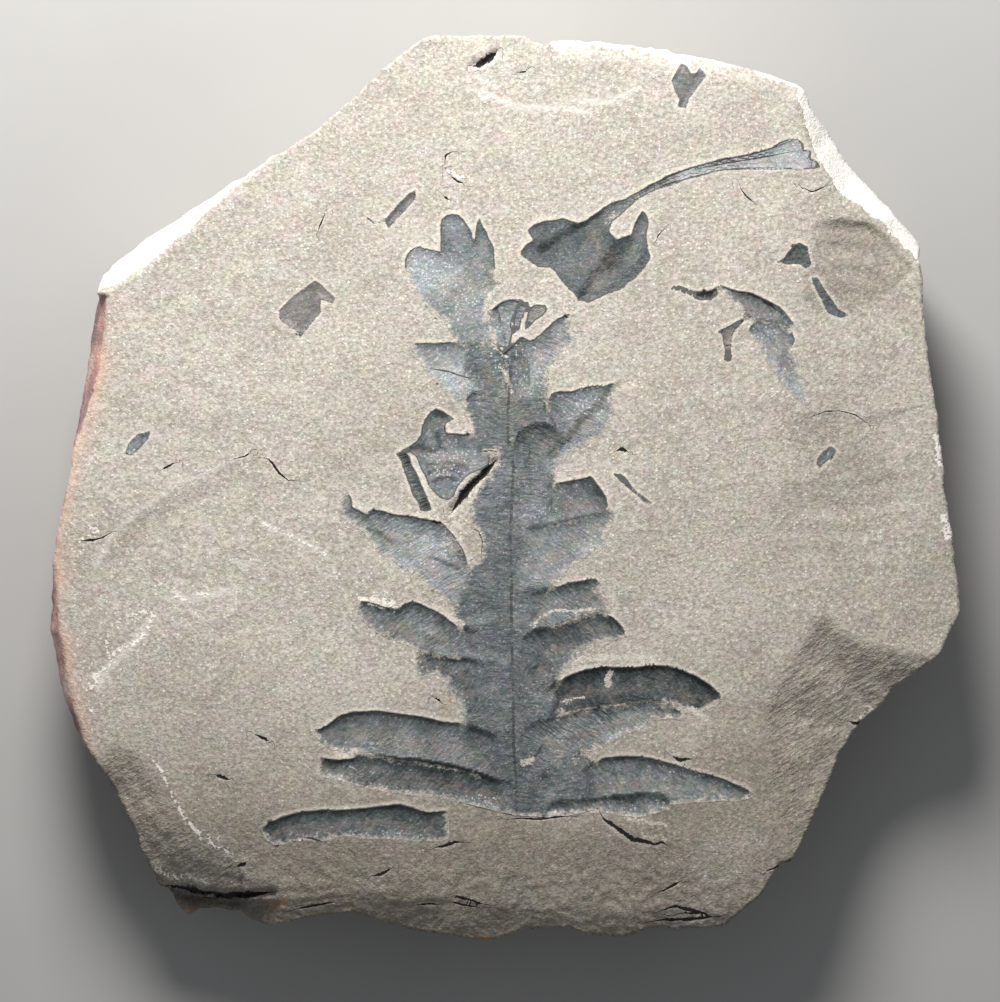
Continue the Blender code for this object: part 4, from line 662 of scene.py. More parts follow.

# Open cracks in the face, painted black as the shade in their gaps: half the width in mm, then the line.
CRACKS = [
    # main crack
    (0.26, [
        (12.0, -40.4), (12.5, -41.2), (14.0, -42.1), (15.2, -43.0), (16.2, -43.8), (17.5, -43.9),
        (19.0, -44.4), (19.8, -44.0), (20.5, -44.6),
    ]),
    # below the leaf base
    (0.1, [(0.1, -41.2), (2.0, -41.1), (4.5, -41.2), (6.5, -40.9), (8.5, -40.8)]),
    # beside the detached pinnule
    (0.15, [(-9.0, -44.8), (-7.5, -44.5), (-6.0, -44.0), (-4.6, -44.1)]),
    # left end of the detached pinnule
    (0.12, [(-25.2, -43.4), (-24.0, -43.6), (-22.6, -44.0)]),
    # above right_8
    (0.17, [(21.0, -33.2), (22.0, -33.8), (23.5, -33.6)]),
    # in left_3
    (0.2, [(-9.2, -3.9), (-8.5, -4.1), (-7.5, -4.1)]),
    # speck by left_5
    (0.16, [(-8.6, -26.1), (-8.2, -26.2), (-7.8, -26.5)]),
    # top left nick a
    (0.1, [(-7.4, 41.2), (-7.2, 41.9), (-6.5, 42.2)]),
    # top left nick b
    (0.09, [(-6.8, 39.4), (-5.9, 38.6), (-4.9, 38.2)]),
    # top left nick d
    (0.09, [(-7.6, 36.9), (-6.8, 36.1)]),
    # right of the stalk
    (0.09, [(29.5, 37.9), (30.1, 36.9), (31.0, 36.0)]),
    # by the right bevel
    (0.1, [(37.0, 37.9), (38.5, 37.2), (40.5, 38.1)]),
    # by the stalked leaf
    (0.07, [(19.1, 31.5), (20.1, 32.8)]),
    # upper left a
    (0.07, [(-23.2, 32.5), (-22.8, 33.5), (-22.4, 34.6)]),
    # left a
    (0.11, [(-42.9, 2.5), (-42.0, 2.9), (-41.1, 3.4)]),
    # left b
    (0.09, [(-34.0, 3.8), (-32.4, 4.2), (-31.5, 4.8)]),
    # left c
    (0.1, [(-30.5, 4.1), (-29.6, 4.0), (-29.0, 3.4), (-28.1, 2.1), (-27.0, 1.2), (-26.2, 1.1)]),
    # left rim
    (0.12, [(-53.0, -6.4), (-51.1, -6.2), (-50.1, -5.9), (-49.2, -5.4)]),
    # lower left
    (0.2, [(-33.6, -47.2), (-32.8, -47.0), (-32.0, -46.5)]),
    # right notch
    (0.18, [(43.4, -29.1), (44.2, -29.4), (45.2, -29.2)]),
    # bottom a
    (0.12, [(-26.8, -52.8), (-24.2, -52.2), (-20.8, -51.6)]),
    # bottom b
    (0.1, [(-11.1, -52.1), (-9.5, -51.9), (-8.0, -52.0)]),
    # bottom c
    (0.12, [(-6.8, -51.6), (-4.9, -52.1), (-3.0, -52.4)]),
    # bottom d
    (0.12, [(19.2, -50.6), (20.8, -49.8), (22.4, -48.8)]),
    # bottom e
    (0.16, [(17.6, -54.4), (20.1, -54.0), (23.2, -53.9), (25.8, -53.6), (27.6, -53.5)]),
    # bottom f
    (0.14, [(32.6, -47.8), (34.5, -47.0), (36.4, -46.0)]),
    # bottom g
    (0.07, [(-19.9, -44.8), (-19.2, -45.1), (-18.6, -45.6)]),
    # right step
    (0.07, [(38.0, 9.0), (40.1, 9.8), (42.0, 9.9), (43.9, 9.4), (45.8, 8.1)]),
    # top crevice
    (0.4, [(-3.8, 53.0), (-2.9, 53.2), (-1.9, 53.9), (-0.9, 54.8)]),
    # dark gap
    (0.42, [(-1.1, 3.6), (-2.9, 1.7), (-3.9, 0.7), (-4.8, -0.3), (-5.7, -1.5), (-6.5, -2.7)]),
    # crevice
    (0.62, [
        (-44.2, -50.1), (-42.4, -50.2), (-40.5, -50.5), (-38.0, -51.0), (-35.2, -51.2),
        (-33.0, -51.0), (-31.1, -50.8), (-29.2, -50.5),
    ]),
    # lower left speck
    (0.26, [(-36.2, -35.6), (-35.2, -36.0), (-34.2, -36.2)]),
    # left speck
    (0.18, [(-31.2, -30.5), (-30.2, -31.0), (-29.2, -31.6)]),
    # brown mark
    (0.2, [(14.0, 4.8), (14.8, 5.1), (15.6, 4.8)]),
    # bottom flake
    (0.2, [(19.5, -52.9), (21.5, -52.2), (23.8, -52.8), (26.0, -53.4)]),
    # bottom ridge
    (0.14, [(-16.5, -48.4), (-14.9, -47.9), (-14.0, -47.2)]),
    # bottom shadow
    (0.14, [(-6.5, -50.8), (-4.8, -51.2), (-3.0, -51.9), (-1.5, -52.1)]),
    # second top nick
    (0.12, [(1.9, 52.1), (2.5, 52.2), (3.0, 52.5)]),
]

# Fine dark ribs and folds of the leaves: half the width in mm, then the line.
RIBS = [
    # torn leaf end
    (0.42, [(20.9, 25.2), (21.8, 25.2), (22.8, 24.9), (23.4, 24.6)]),
    # torn leaf fold
    (0.25, [(23.2, 24.7), (24.4, 24.3), (25.6, 24.4), (26.6, 25.2)]),
    # stem upper
    (0.16, [(14.6, 36.2), (16.8, 37.3), (18.5, 38.2), (20.5, 39.2), (22, 39.8), (24.5, 40.6)]),
    (0.09, [(24.5, 40.6), (27.6, 41.3), (30.8, 41.9), (33.5, 42.7), (35.8, 43.6)]),
    # stem lower
    (0.1, [
        (17, 36.5), (18.2, 37.2), (20.1, 38.1), (23, 38.9), (26, 39.7), (29.5, 40.2), (33.2, 40.3),
    ]),
    # stem middle
    (0.08, [(24, 40.1), (28, 40.9), (32, 41.5), (36, 42.3)]),
    # left_2 slit
    (0.12, [(-7.2, 7), (-6.6, 7), (-5.9, 7.1)]),
    # left_2 right slit
    (0.14, [(-2.9, 4.8), (-1.9, 4.9), (-0.7, 4.7)]),
    # stalked leaf spur
    (0.12, [(8.2, 23.6), (9.1, 23.9), (9.7, 24.2)]),
    # stalked leaf flap
    (0.14, [(17.4, 34.8), (16.7, 33.8), (16.2, 32.7), (15.8, 31.9)]),
    # left_1 midrib
    (0.06, [(-9.4, 15.2), (-8.1, 15.0), (-6.9, 14.8), (-5.8, 14.4), (-4.4, 14.0), (-3.0, 14.0)]),
    # left_3 curve
    (0.12, [(-4.5, -4.6), (-3.2, -5.2), (-2.8, -6.4), (-2.8, -8.2)]),
    # right_4 outer
    (0.1, [(12.1, -10.9), (14.0, -12.1), (15.2, -13.2), (16.2, -14.4), (16.9, -15.8), (17.8, -16.6)]),
    # nib
    (0.22, [(-6.9, 35.5), (-6.2, 35.0), (-5.9, 34.5)]),
    # torn leaf arc
    (0.3, [(26.9, 25.5), (28.5, 25.1), (30.1, 24.9), (31.8, 24.2), (33.2, 23.2), (34.2, 22.4)]),
    # leaf foot
    (0.07, [
        (-6.8, -38.8), (-4.2, -39.4), (-0.5, -40.4), (1.6, -40.8), (4.5, -41.0), (7.0, -41.1),
        (9.1, -40.6), (11.4, -40.0),
    ]),
    # torn crack
    (0.22, [(27.5, 20.1), (28.2, 20.6), (28.9, 20.9), (29.8, 21.5)]),
    # tip crack
    (0.1, [(-1.5, 18.5), (-0.8, 17.9), (-0.1, 17.2), (0.8, 16.8)]),
]

# Pale scratches and crumbly rims on the stone: half the width in mm, then the line.
SCRATCHES = [
    # above left_4
    (0.38, [(-18.6, -13.1), (-17.5, -13.5), (-16.3, -13.6), (-15.2, -14.3), (-14.2, -14.3), (-13.4, -13.9)]),
    # left long
    (0.14, [(-31.0, -3.8), (-29.2, -4.6), (-27.5, -5.4), (-25.5, -6.4), (-23.5, -7.4), (-21.5, -8.6)]),
    # web a
    (0.19, [
        (-52.8, -25.9), (-51.8, -24.8), (-50.9, -24.0), (-51.1, -23.1), (-49.5, -22.1),
        (-48.4, -20.0), (-46.5, -19.4), (-44.9, -17.8), (-43.9, -15.9), (-44.4, -15.1),
        (-45.8, -15.4), (-47.6, -16.1), (-48.5, -17.0),
    ]),
    # web b
    (0.17, [(-50.0, -18.6), (-49.2, -20.8), (-48.1, -20.0)]),
    # web c
    (0.1, [
        (-42.0, -12.1), (-40.6, -12.6), (-41.1, -13.4), (-39.8, -13.8), (-38.8, -13.1),
        (-36.0, -12.9),
    ]),
    # rim patch a
    (0.16, [(-53.4, -6.6), (-52.2, -5.9), (-51.1, -5.4), (-50.4, -4.8)]),
    # rim patch b
    (0.2, [(-52.5, -4.5), (-51.5, -4.8), (-50.6, -5.1)]),
    # low dot
    (0.18, [(-52.0, -27.0), (-51.5, -27.8)]),
    # top left fleck
    (0.16, [(-7.4, 40.2), (-5.8, 39.2), (-4.2, 38.8)]),
    # crumbly rim
    (0.17, [
        (-44.8, -32.9), (-43.5, -34.2), (-42.4, -35.9), (-41.5, -37.8), (-40.8, -39.5),
        (-40.0, -41.0), (-38.8, -42.5), (-37.5, -43.8), (-36.2, -44.6), (-34.5, -45.4),
        (-32.8, -46.1),
    ]),
    # crumbly rim spur
    (0.1, [(-41.0, -38.8), (-39.2, -41.8), (-37.2, -43.2), (-35.2, -44.0)]),
    # lower left flecks
    (0.26, [
        (-44.5, -47.5), (-43.0, -48.2), (-41.5, -48.8), (-40.0, -48.5), (-38.5, -49.0),
        (-36.8, -49.5),
    ]),
    # right chips
    (0.6, [(54.2, 7.5), (54.5, 5.0), (54.8, 2.5)]),
    # right chips low
    (0.6, [(55.1, -2.8), (55.5, -4.5), (56.0, -6.2)]),
    # notch chip
    (0.6, [(45.0, -29.0), (45.8, -28.4), (46.5, -27.4)]),
]

# Soft pale ridges: half the width in mm, then the line.
PALE_LINES = [
    # beside the left scratch
    (0.3, [(-31, -3.8), (-27.5, -5.4), (-23.5, -7.4), (-21.5, -8.6)]),
    # beside the web
    (0.45, [(-51.1, -25), (-49.5, -22.1), (-46.4, -19.3), (-43.9, -15.9)]),
    (0.4, [(-42, -12.3), (-39.8, -13.6), (-36, -12.9), (-32.5, -12.2)]),
    # left step crest
    (0.3, [
        (-51.8, -9.9), (-50, -7.2), (-48.1, -4.8), (-45.8, -2.5), (-43, -0.6), (-39.2, 1.4),
        (-35.8, 3), (-31.9, 4.5),
    ]),
    # top ridge a
    (0.3, [(-4.2, 50.2), (-1.1, 49), (1.4, 47.9), (4.5, 47.8), (7.6, 47.8), (12, 46.9)]),
    # top ridge b
    (0.25, [(7.6, 48.8), (12, 48.4), (14.8, 49.2), (17, 50.6)]),
    # top ridge c
    (0.22, [(-3.9, 51.8), (-2.2, 51), (-0.5, 50.1)]),
    # left_2 rim left
    (0.3, [(-11.3, 3.6), (-10.8, 2.5), (-10.3, 1.2), (-9.7, 0)]),
    # left_2 rim right
    (0.22, [(-1.7, 3.2), (-2.9, 2.7), (-4.3, 1.9), (-5.6, 0.6), (-6.1, -0.7)]),
    # dark gap rim
    (0.2, [(-3, 0.9), (-3.2, -0.4), (-4.3, -1.9)]),
    # stalked leaf chips
    (0.2, [(13.2, 34.6), (14, 34.3), (14.7, 35.2)]),
]

# Cream stone laid bare along the leaves: half the width in mm, then the line.
CHIPS = [
    # above right_6
    (0.36, [
        (8.6, -21.5), (10.1, -21.1), (11.8, -21.0), (13.8, -20.9), (15.5, -20.6), (17.5, -21.1),
        (19.4, -21.2),
    ]),
    # above left_4
    (0.32, [(-18.4, -13.5), (-16.8, -13.9), (-15.5, -14.4), (-14.2, -14.5), (-13.0, -14.9)]),
    # between left_3 and left_4
    (0.3, [(-9.2, -14.1), (-7.4, -15.2), (-6.1, -16.2), (-4.9, -17.1)]),
    # tip of right_6
    (0.35, [(23.1, -27.1), (24.1, -27.9), (25.0, -28.4), (25.9, -29.1)]),
    # right_6 wound
    (0.3, [(13.6, -22.4), (13.0, -23.5), (12.9, -24.8)]),
    # below left_5 tip
    (0.35, [(-21.6, -32.5), (-19.9, -32.9), (-18.0, -32.5)]),
    # right_4 fold
    (0.16, [
        (3.4, -17.5), (4.5, -15.9), (5.9, -15.2), (7.2, -15.0), (9.0, -15.2), (10.8, -14.8),
        (11.8, -15.0),
    ]),
    # left_3 chip
    (0.4, [(-6.9, -3.9), (-6.1, -4.2), (-5.4, -4.5)]),
    # rachis spot low
    (0.35, [(2.0, -34.2), (3.0, -33.9), (4.0, -33.5)]),
    # tip cracks a
    (0.15, [(-1.5, 18.1), (-0.1, 16.9), (0.8, 16.5)]),
    # tip cracks b
    (0.2, [(-0.8, 15.6), (0.1, 14.8), (0.5, 13.8), (1.0, 11.9)]),
    # right_7 base
    (0.1, [(7.0, -26.5), (8.5, -26.1), (10.8, -25.8)]),
    # under right_9
    (0.2, [(15.1, -41.0), (18.2, -41.5), (21.0, -42.0)]),
    # crack lip
    (0.2, [(17.0, -43.0), (18.2, -43.5), (19.8, -43.5), (20.5, -43.9)]),
]

# Soft dark folds of the leaves, and a painted shadow along the stalked leaf's raised edge: half the width in
# mm, then the line.
FOLDS_AND_EDGE_SHADOW = [
    # left_1 lower
    (0.2, [(-5.5, 11.0), (-4.4, 11.6), (-3.5, 12.1)]),
    # left_4 midrib
    (0.2, [
        (-16.6, -17.8), (-15.4, -18.0), (-14.0, -18.8), (-12.0, -19.5), (-10.9, -20.0), (-9.5, -20.2),
        (-8.2, -20.9), (-6.2, -21.2), (-4.8, -21.2), (-2.4, -22.0),
    ]),
    # left_3 lower
    (0.2, [(-10.0, -8.2), (-8.4, -8.6), (-6.8, -9.4), (-5.4, -9.8)]),
    # left_3 midrib
    (0.2, [(-17.8, -4.8), (-16.2, -5.0), (-15.2, -5.6), (-14.2, -6.4), (-13.1, -6.5)]),
    # stalked leaf fold a
    (0.4, [(4.2, 29.8), (5.6, 30.8), (7, 31.8), (8.7, 32.7), (10.4, 33.7), (12.3, 35)]),
    # stalked leaf fold b
    (0.78, [(15.9, 31.9), (14.7, 30.4), (13.5, 29), (12.3, 27.9)]),
    # stalked leaf fold b low
    (0.42, [(12.5, 28.1), (11.3, 27), (10.4, 25.5), (9.4, 24.2)]),
    # stalked leaf edge: painted shadow
    (0.6, [(18, 29.1), (16.4, 26.7), (14.7, 25.3), (12.8, 24.6), (11.4, 23.9)]),
    # stem neck
    (0.45, [(16.2, 36.7), (18, 37.5), (20, 38.4), (22, 39.2)]),
    # left_2 beak
    (0.5, [(-8.8, 9.6), (-7.7, 9.5), (-6.7, 9)]),
    # left_2 fold
    (0.3, [(-12.7, 4.8), (-11.6, 5.2), (-10.5, 5.4), (-9.2, 5.1), (-8.1, 4.7)]),
    # left_2 ring a
    (0.22, [(-10.1, 2.9), (-8.6, 3.2), (-6.6, 3.3), (-5, 3), (-4.3, 2.5)]),
    # left_2 ring b
    (0.2, [(-9.9, 2), (-8.4, 2.5), (-6.6, 2.6), (-5.2, 2.1)]),
    # left_2 ring c
    (0.2, [(-9.2, 0.9), (-7.9, 1.5), (-6.6, 1.6), (-5.7, 1.1)]),
    # left_2 ring d
    (0.22, [(-8.4, 7.5), (-8.2, 6.4), (-7.8, 5.4), (-7, 4.7)]),
    # left_2 side
    (0.3, [(-5.5, 7.7), (-4.3, 7.6), (-3.8, 7.5)]),
    # strip low
    (0.4, [(-10.3, -1.1), (-9.8, -2), (-9.7, -2.6)]),
    # strip top
    (0.25, [(-13.2, 4.5), (-12.4, 4), (-11.9, 3)]),
    # right_1 fold
    (0.4, [
        (14.4, 13.6), (12.9, 11.9), (12.0, 10.8), (10.8, 9.8), (9.5, 8.8), (9.0, 7.6), (7.6, 6.2),
        (6.5, 5.0), (5.2, 3.8),
    ]),
]

# Places on the leaves with a silvery sheen: centre and half-axes in mm, then strength.
SILVER_PLACES = [
    (-7.2, 3.6, 3.2, 3.0, 1.0),  # left_2
    (-9.2, 26.9, 4.2, 3.8, 1.0),  # crown
    (-4.2, 23.1, 3.8, 3.2, 0.6),  # crown low
    (-6.8, 13.5, 4.2, 2.2, 0.9),  # left_1
    (-0.5, 18.1, 4.0, 4.2, 0.6),  # blade top
    (3.2, 14.8, 2.8, 3.8, 0.5),  # right tip
    (-8.8, -7.1, 3.2, 1.6, 1.0),  # left_3
    (-11.1, -9.6, 2.8, 1.1, 0.6),  # left_3 low
    (4.2, -3.1, 3.2, 1.5, 0.7),  # right_2
    (10.8, -7.8, 2.8, 1.2, 0.7),  # right_3
    (10.1, 10.6, 3.8, 2.5, 0.6),  # right_1
    (12.9, -19.2, 2.8, 0.9, 0.5),  # right_5
    (-3.0, -39.0, 4.5, 1.1, 0.9),  # left_6
    (-18.0, -35.2, 4.2, 1.0, 0.5),  # left_6 tip
    (-13.0, -43.2, 5.6, 1.0, 0.6),  # detached
    (16.5, -30.8, 5.5, 1.1, 0.9),  # right_7
    (22.0, -35.2, 5.0, 1.0, 0.5),  # right_8
    (17.0, -39.8, 5.0, 1.0, 0.6),  # right_9
    (32.6, 20.0, 3.1, 1.2, 0.3),  # torn
]

# Places where the leaf is worn through to the stone, in the same form.
BARE_PLACES = [
    (-5.8, -6.5, 2.5, 2.1, 0.9),  # left_3 patch
    (3.2, 19.2, 1.5, 0.8, 0.6),  # tip patch
    (13.1, -23.8, 0.6, 1.2, 0.9),  # right_6 wound
    (2.9, -34.0, 1.4, 0.6, 0.9),  # rachis spot
    (7.9, -26.5, 1.2, 0.5, 0.6),  # right_7 base
    (18.5, -36.0, 1.3, 0.6, 0.5),  # right_8 middle
    (9.9, -33.4, 3.0, 1.3, 0.5),  # between right_7 and right_8
    (38.9, 41.6, 1.6, 2.2, 0.7),  # stem end
    (13.6, 33.9, 1.6, 1.4, 0.6),  # stalked leaf, by the stem
    (-0.8, 27.5, 1.1, 3.2, 0.45),  # crown right
    (0.1, 14.0, 0.9, 3.2, 0.55),  # rachis top
    (-12.4, -31.8, 6.5, 0.9, 0.35),  # left_5 low
    (35.2, 12.8, 1.8, 2.8, 0.6),  # pinnule low
    (17.0, -41.5, 5.0, 0.9, 0.7),  # right_9 low
    (-10.0, -22.2, 3.2, 1.5, 0.3),  # left_4 low
    (18.2, 36.2, 2.5, 1.0, 0.4),  # stem root
    (-7.4, -1.2, 2.0, 1.2, 0.4),  # left_2 low
    (-9.2, -38.8, 6.2, 0.8, 0.3),  # left_6 low
]

# Places where the leaf is thicker and darker, in the same form.
DARK_PLACES = [
    (3.2, -35.0, 5.6, 7.5, 0.35),  # base
    (-5.5, -35.6, 6.0, 1.8, 0.5),  # left_6 middle
    (-3.2, 25.8, 1.0, 1.0, 0.6),  # crown centre
    (7.8, 7.5, 3.2, 3.2, 0.4),  # right_1
    (10.8, 0.0, 2.5, 1.8, 0.35),  # right_2
    (-9.0, -18.8, 3.8, 1.1, 0.4),  # left_4
    (-0.5, -15.0, 3.8, 7.5, 0.1),  # blade low
    (14.5, -38.8, 3.0, 0.8, 0.5),  # right_8 low
]

# Rust-stained places on the stone, in the same form.
RUST_PLACES = [
    (-21.2, 24.0, 0.5, 0.6, 0.8),  # square scrap corner
    (-2.4, -56.6, 1.5, 0.8, 0.8),  # bottom tip
    (-0.6, -53.8, 0.9, 0.4, 0.6),  # bottom stain
    (-28.2, -52.1, 2.0, 1.1, 0.6),  # ledge right
    (-41.0, -53.5, 1.8, 1.2, 0.35),  # ledge tip
    (-7.4, -26.9, 1.5, 1.2, 0.3),  # left_5 above
]

# Duller, greyer places on the stone, in the same form.
GREY_PLACES = [
    (-35.5, -52.2, 5.2, 1.1, 0.8),  # ledge
    (22.5, -54.5, 4.8, 0.8, 0.6),  # bottom plate
    (42.6, 25.0, 8.8, 3.8, 0.25),  # right shelf
    (42.0, -1.2, 6.2, 2.8, 0.25),  # right hollow
    (42.0, -28.8, 7.5, 6.2, 0.25),  # lower right
    (14.9, -13.6, 1.6, 1.4, 0.5),  # right_4 tip
    (-2.8, -41.2, 3.4, 0.8, 0.35),  # leaf foot
]

# Places at the foot that catch more light, in the same form.
LIT_PLACES = [
    (28.0, -47.0, 8.0, 5.0, 0.45),  # bottom right
    (-38.0, -47.0, 6.0, 4.0, 0.3),  # above the crevice
]

# Areas of the face darkened with painted shade, on its scars and hollows and towards its lower right: how
# dark, the soft edge in mm, then the outline.
PAINTED_SHADE_ZONES = [
    # right flake
    (0.5, 0.5, [
        (40.6, 34), (43.2, 34.2), (46, 33.6), (48.9, 31.2), (51.5, 28.1), (50.1, 26.2), (47, 23.8),
        (42, 21.5), (38.2, 22.2), (37, 25), (37.8, 28.8), (38.9, 31.9),
    ]),
    # right hollow
    (0.3, 1.5, [
        (34.5, 8.2), (38.5, 9.8), (42, 9.9), (44.1, 8.8), (46, 6), (49.5, 4), (46, 1), (40, 0.5), (36, 3),
    ]),
    # below the left step
    (0.3, 1.2, [
        (-50.8, -6.9), (-45.1, -1.4), (-41.2, 0.6), (-33.8, 3.8), (-31, 2.5), (-38, -2), (-44, -6),
        (-49, -10),
    ]),
    # right of the leaf foot
    (0.3, 3.0, [(16, -18), (34, -16), (36, -36), (32, -46), (14, -43), (24, -30)]),
    # below the leaf foot
    (0.32, 1.2, [(-1, -41.6), (9, -41.6), (14, -43.5), (20, -46), (8, -46.8), (-2, -44.5)]),
]

# Every film's node and the outlines that it is made from.
FILMS = {
    "main_frond": FROND_LOBES,
    "stalked_leaf": STALKED_LOBES,
    "torn_leaf": TORN_LOBES,
    "detached_pinnule": DETACHED_LOBES,
    **SCRAPS,
}

# Size of the silvery specks on the film, in mm.
SPECK_SIZE = 0.26

# Stone colours
STONE_SHADES = [
    (0.0, (0.30, 0.268, 0.228, 1)), (0.5, (0.42, 0.386, 0.338, 1)), (1.0, (0.545, 0.51, 0.455, 1)),
]
STONE_SPARKLE = (0.88, 0.85, 0.79, 1)
STONE_CREAM = (0.70, 0.64, 0.55, 1)
STONE_DARK = (0.17, 0.15, 0.125, 1)
STONE_GREY = (0.27, 0.26, 0.24, 1)
# Pale broken stone, painted paler still as a highlight.
STONE_PALE_BREAK_HIGHLIGHT = (0.90, 0.875, 0.83, 1)
# Painted shade, where the lamp's light falls off.
STONE_PAINTED_SHADE = (0.62, 0.60, 0.57, 1)
# Painted shade on the lower facets, which face away from the lamp.
FACET_PAINTED_SHADE = (0.90, 0.89, 0.87, 1)
CHIP_CREAM = (0.70, 0.63, 0.55, 1)
FACET_TURN = -0.55
# Pale dust, and the painted highlight on the cracks' lower lips.
DUST_AND_LIP_HIGHLIGHT = (0.84, 0.81, 0.76, 1)
# Black painted as shade in the cracks' gaps, and the leaves' own dark ribs and rachis.
CRACK_SHADE_AND_RIB_BLACK = (0.012, 0.011, 0.011, 1)
SIDE_SHADES = [(0.0, (0.45, 0.42, 0.39, 1)), (0.5, (0.85, 0.83, 0.8, 1)), (1.0, (1.0, 1.0, 1.0, 1))]
RIND_SHADES = [
    (0.0, (0.19, 0.11, 0.13, 1)), (0.3, (0.36, 0.17, 0.18, 1)), (0.5, (0.53, 0.27, 0.23, 1)),
    (0.7, (0.63, 0.38, 0.35, 1)), (1.0, (0.75, 0.57, 0.53, 1)),
]
RIND_STAIN = (0.64, 0.38, 0.27, 1)
RUST = (0.42, 0.19, 0.07, 1)
WHITE = (1.0, 1.0, 1.0, 1)

# Film colours
FILM_SMUDGE = (0.10, 0.10, 0.097, 1)
FILM_SHADES = [
    (0.0, (0.012, 0.015, 0.016, 1)), (0.25, (0.042, 0.052, 0.054, 1)), (0.5, (0.105, 0.118, 0.122, 1)),
    (0.75, (0.205, 0.22, 0.226, 1)), (1.0, (0.34, 0.36, 0.372, 1)),
]
FILM_BROWN = (0.070, 0.057, 0.052, 1)
FILM_TAN = (0.33, 0.285, 0.25, 1)
FILM_SPARKLE = (0.56, 0.60, 0.64, 1)

# Floor colours
FLOOR_SHADES = [(0.3, (0.37, 0.365, 0.355, 1)), (0.7, (0.40, 0.395, 0.385, 1))]

# Camera, in mm: its distance above the face, the width and the middle of what it sees
SENSOR_WIDTH = 36.0
CAMERA_DISTANCE = 450.0
VIEW_WIDTH = 125.0
VIEW_CENTRE = (-0.5, -1.375)

# Light: places and sizes in mm (the lamp's disk in m)
LAMP_PLACE = (-38.0, 208.0, 180.0)
LAMP_AIM = (0.0, 10.0, 18.0)
LAMP_SIZE = 0.12
LAMP_POWER = 1.38
LAMP_COLOUR = (1.0, 0.985, 0.96)
FILL_COLOUR = (0.92, 0.95, 1.0, 1)
FILL_STRENGTH = 0.26
FLOOR_WIDTH = 3000.0


def box_pick(points, line, sight):
    """True for the points in a line's box, widened by how far the line is seen."""
    low = np.min(line, axis=0) - sight
    high = np.max(line, axis=0) + sight
    return np.all((points > low) & (points < high), axis=1)


def line_fields(points, line):
    """For each point: its distance to an open line, its side (+1 left, -1 right) and its share along it."""
    start = np.asarray(line[:-1], float)
    step = np.asarray(line[1:], float) - start
    length = np.linalg.norm(step, axis=1)
    offset = points[:, None, :] - start[None, :, :]
    along = np.clip((offset * step).sum(2) / (length * length), 0.0, 1.0)
    away = offset - along[:, :, None] * step
    distance = np.sqrt((away ** 2).sum(2))
    nearest = distance.argmin(1)
    rows = np.arange(len(points))
    offset, step = offset[rows, nearest], step[nearest]
    side = np.where(step[:, 0] * offset[:, 1] - step[:, 1] * offset[:, 0] >= 0.0, 1.0, -1.0)
    before = np.concatenate(([0.0], np.cumsum(length)))[:-1]
    share = (before[nearest] + along[rows, nearest] * length[nearest]) / length.sum()
    return distance[rows, nearest], side, share


def distance_to_line(points, line):
    """Shortest distance of each point to an open line."""
    return line_fields(points, line)[0]


def inside(points, outline):
    """True where a point lies in a closed outline: a ray towards +X crosses it an odd number of times."""
    start = np.asarray(outline, float)
    end = np.roll(start, -1, axis=0)
    x, y = points[:, 0:1], points[:, 1:2]
    spans = (start[:, 1] > y) != (end[:, 1] > y)
    rise = np.where(end[:, 1] == start[:, 1], 1.0, end[:, 1] - start[:, 1])
    crossing = start[:, 0] + (y - start[:, 1]) * (end[:, 0] - start[:, 0]) / rise
    return (spans & (x < crossing)).sum(1) % 2 == 1


def closed(outline):
    """An outline as a line that ends where it starts."""
    return list(outline) + [outline[0]]


def smooth(value, low, high):
    """An S-shaped step from 0 at the low value to 1 at the high one."""
    share = np.clip((value - low) / (high - low), 0.0, 1.0)
    return share * share * (3.0 - 2.0 * share)


def hills(points, size, seed):
    """Smooth random hills from -1 to 1: random heights on a square lattice, joined by S-shaped blends."""
    table = np.random.default_rng(seed).uniform(-1.0, 1.0, (64, 64))
    place = points / size + 100.0
    corner = np.floor(place).astype(int)
    part = place - corner
    part = part ** 3 * (part * (part * 6.0 - 15.0) + 10.0)
    i, j = corner[:, 0], corner[:, 1]
    low = table[i % 64, j % 64] * (1 - part[:, 0]) + table[(i + 1) % 64, j % 64] * part[:, 0]
    high = table[i % 64, (j + 1) % 64] * (1 - part[:, 0]) + table[(i + 1) % 64, (j + 1) % 64] * part[:, 0]
    return low * (1 - part[:, 1]) + high * part[:, 1]


def places(points, rows):
    """Strength of the oval places that cover each point: full in the middle, nothing past their edge."""
    strength = np.zeros(len(points))
    for x, y, half_x, half_y, most in rows:
        reach = np.hypot((points[:, 0] - x) / half_x, (points[:, 1] - y) / half_y)
        strength = np.maximum(strength, most * smooth(-reach, -1.25, -0.35))
    return strength


def ramp(distance, slope, softness):
    """A fall that starts flat at a crest and becomes a straight slope past its soft stretch."""
    return slope * distance * distance / (distance + softness)


def bevel_falls(points):
    """Fall of every broken-off margin by name: in its area it grows with the distance from its crest."""
    falls = {}
    for name, (crests, corners) in BEVELS.items():
        area = [p for line, _, _ in crests for p in line] + corners
        depth = [ramp(distance_to_line(points, line), slope, soft) for line, slope, soft in crests]
        falls[name] = np.where(inside(points, area), np.min(depth, axis=0), 0.0)
    return falls


def scars(points):
    """Shallow flake scars: below its upper edge each one drops quickly, then climbs slowly back."""
    fall = np.zeros(len(points))
    for edge, depth, drop, reach in SCARS:
        line = np.asarray(edge, float)
        below = np.interp(points[:, 0], line[:, 0], line[:, 1]) - points[:, 1]
        below = below + 0.15 * hills(points, 1.5, 31)
        ends = np.minimum(points[:, 0] - line[0, 0], line[-1, 0] - points[:, 0])
        fade = np.clip(ends / SCAR_END_FADE, 0.0, 1.0)
        shape = (1.0 - np.exp(-np.maximum(below, 0.0) / drop)) * np.exp(-np.maximum(below, 0.0) / reach)
        ripple = 1.0 + 0.12 * np.sin(2.2 * below + hills(points, 5.0, 32)) * (below > 0.3)
        fall += depth * shape * fade * ripple
    return fall


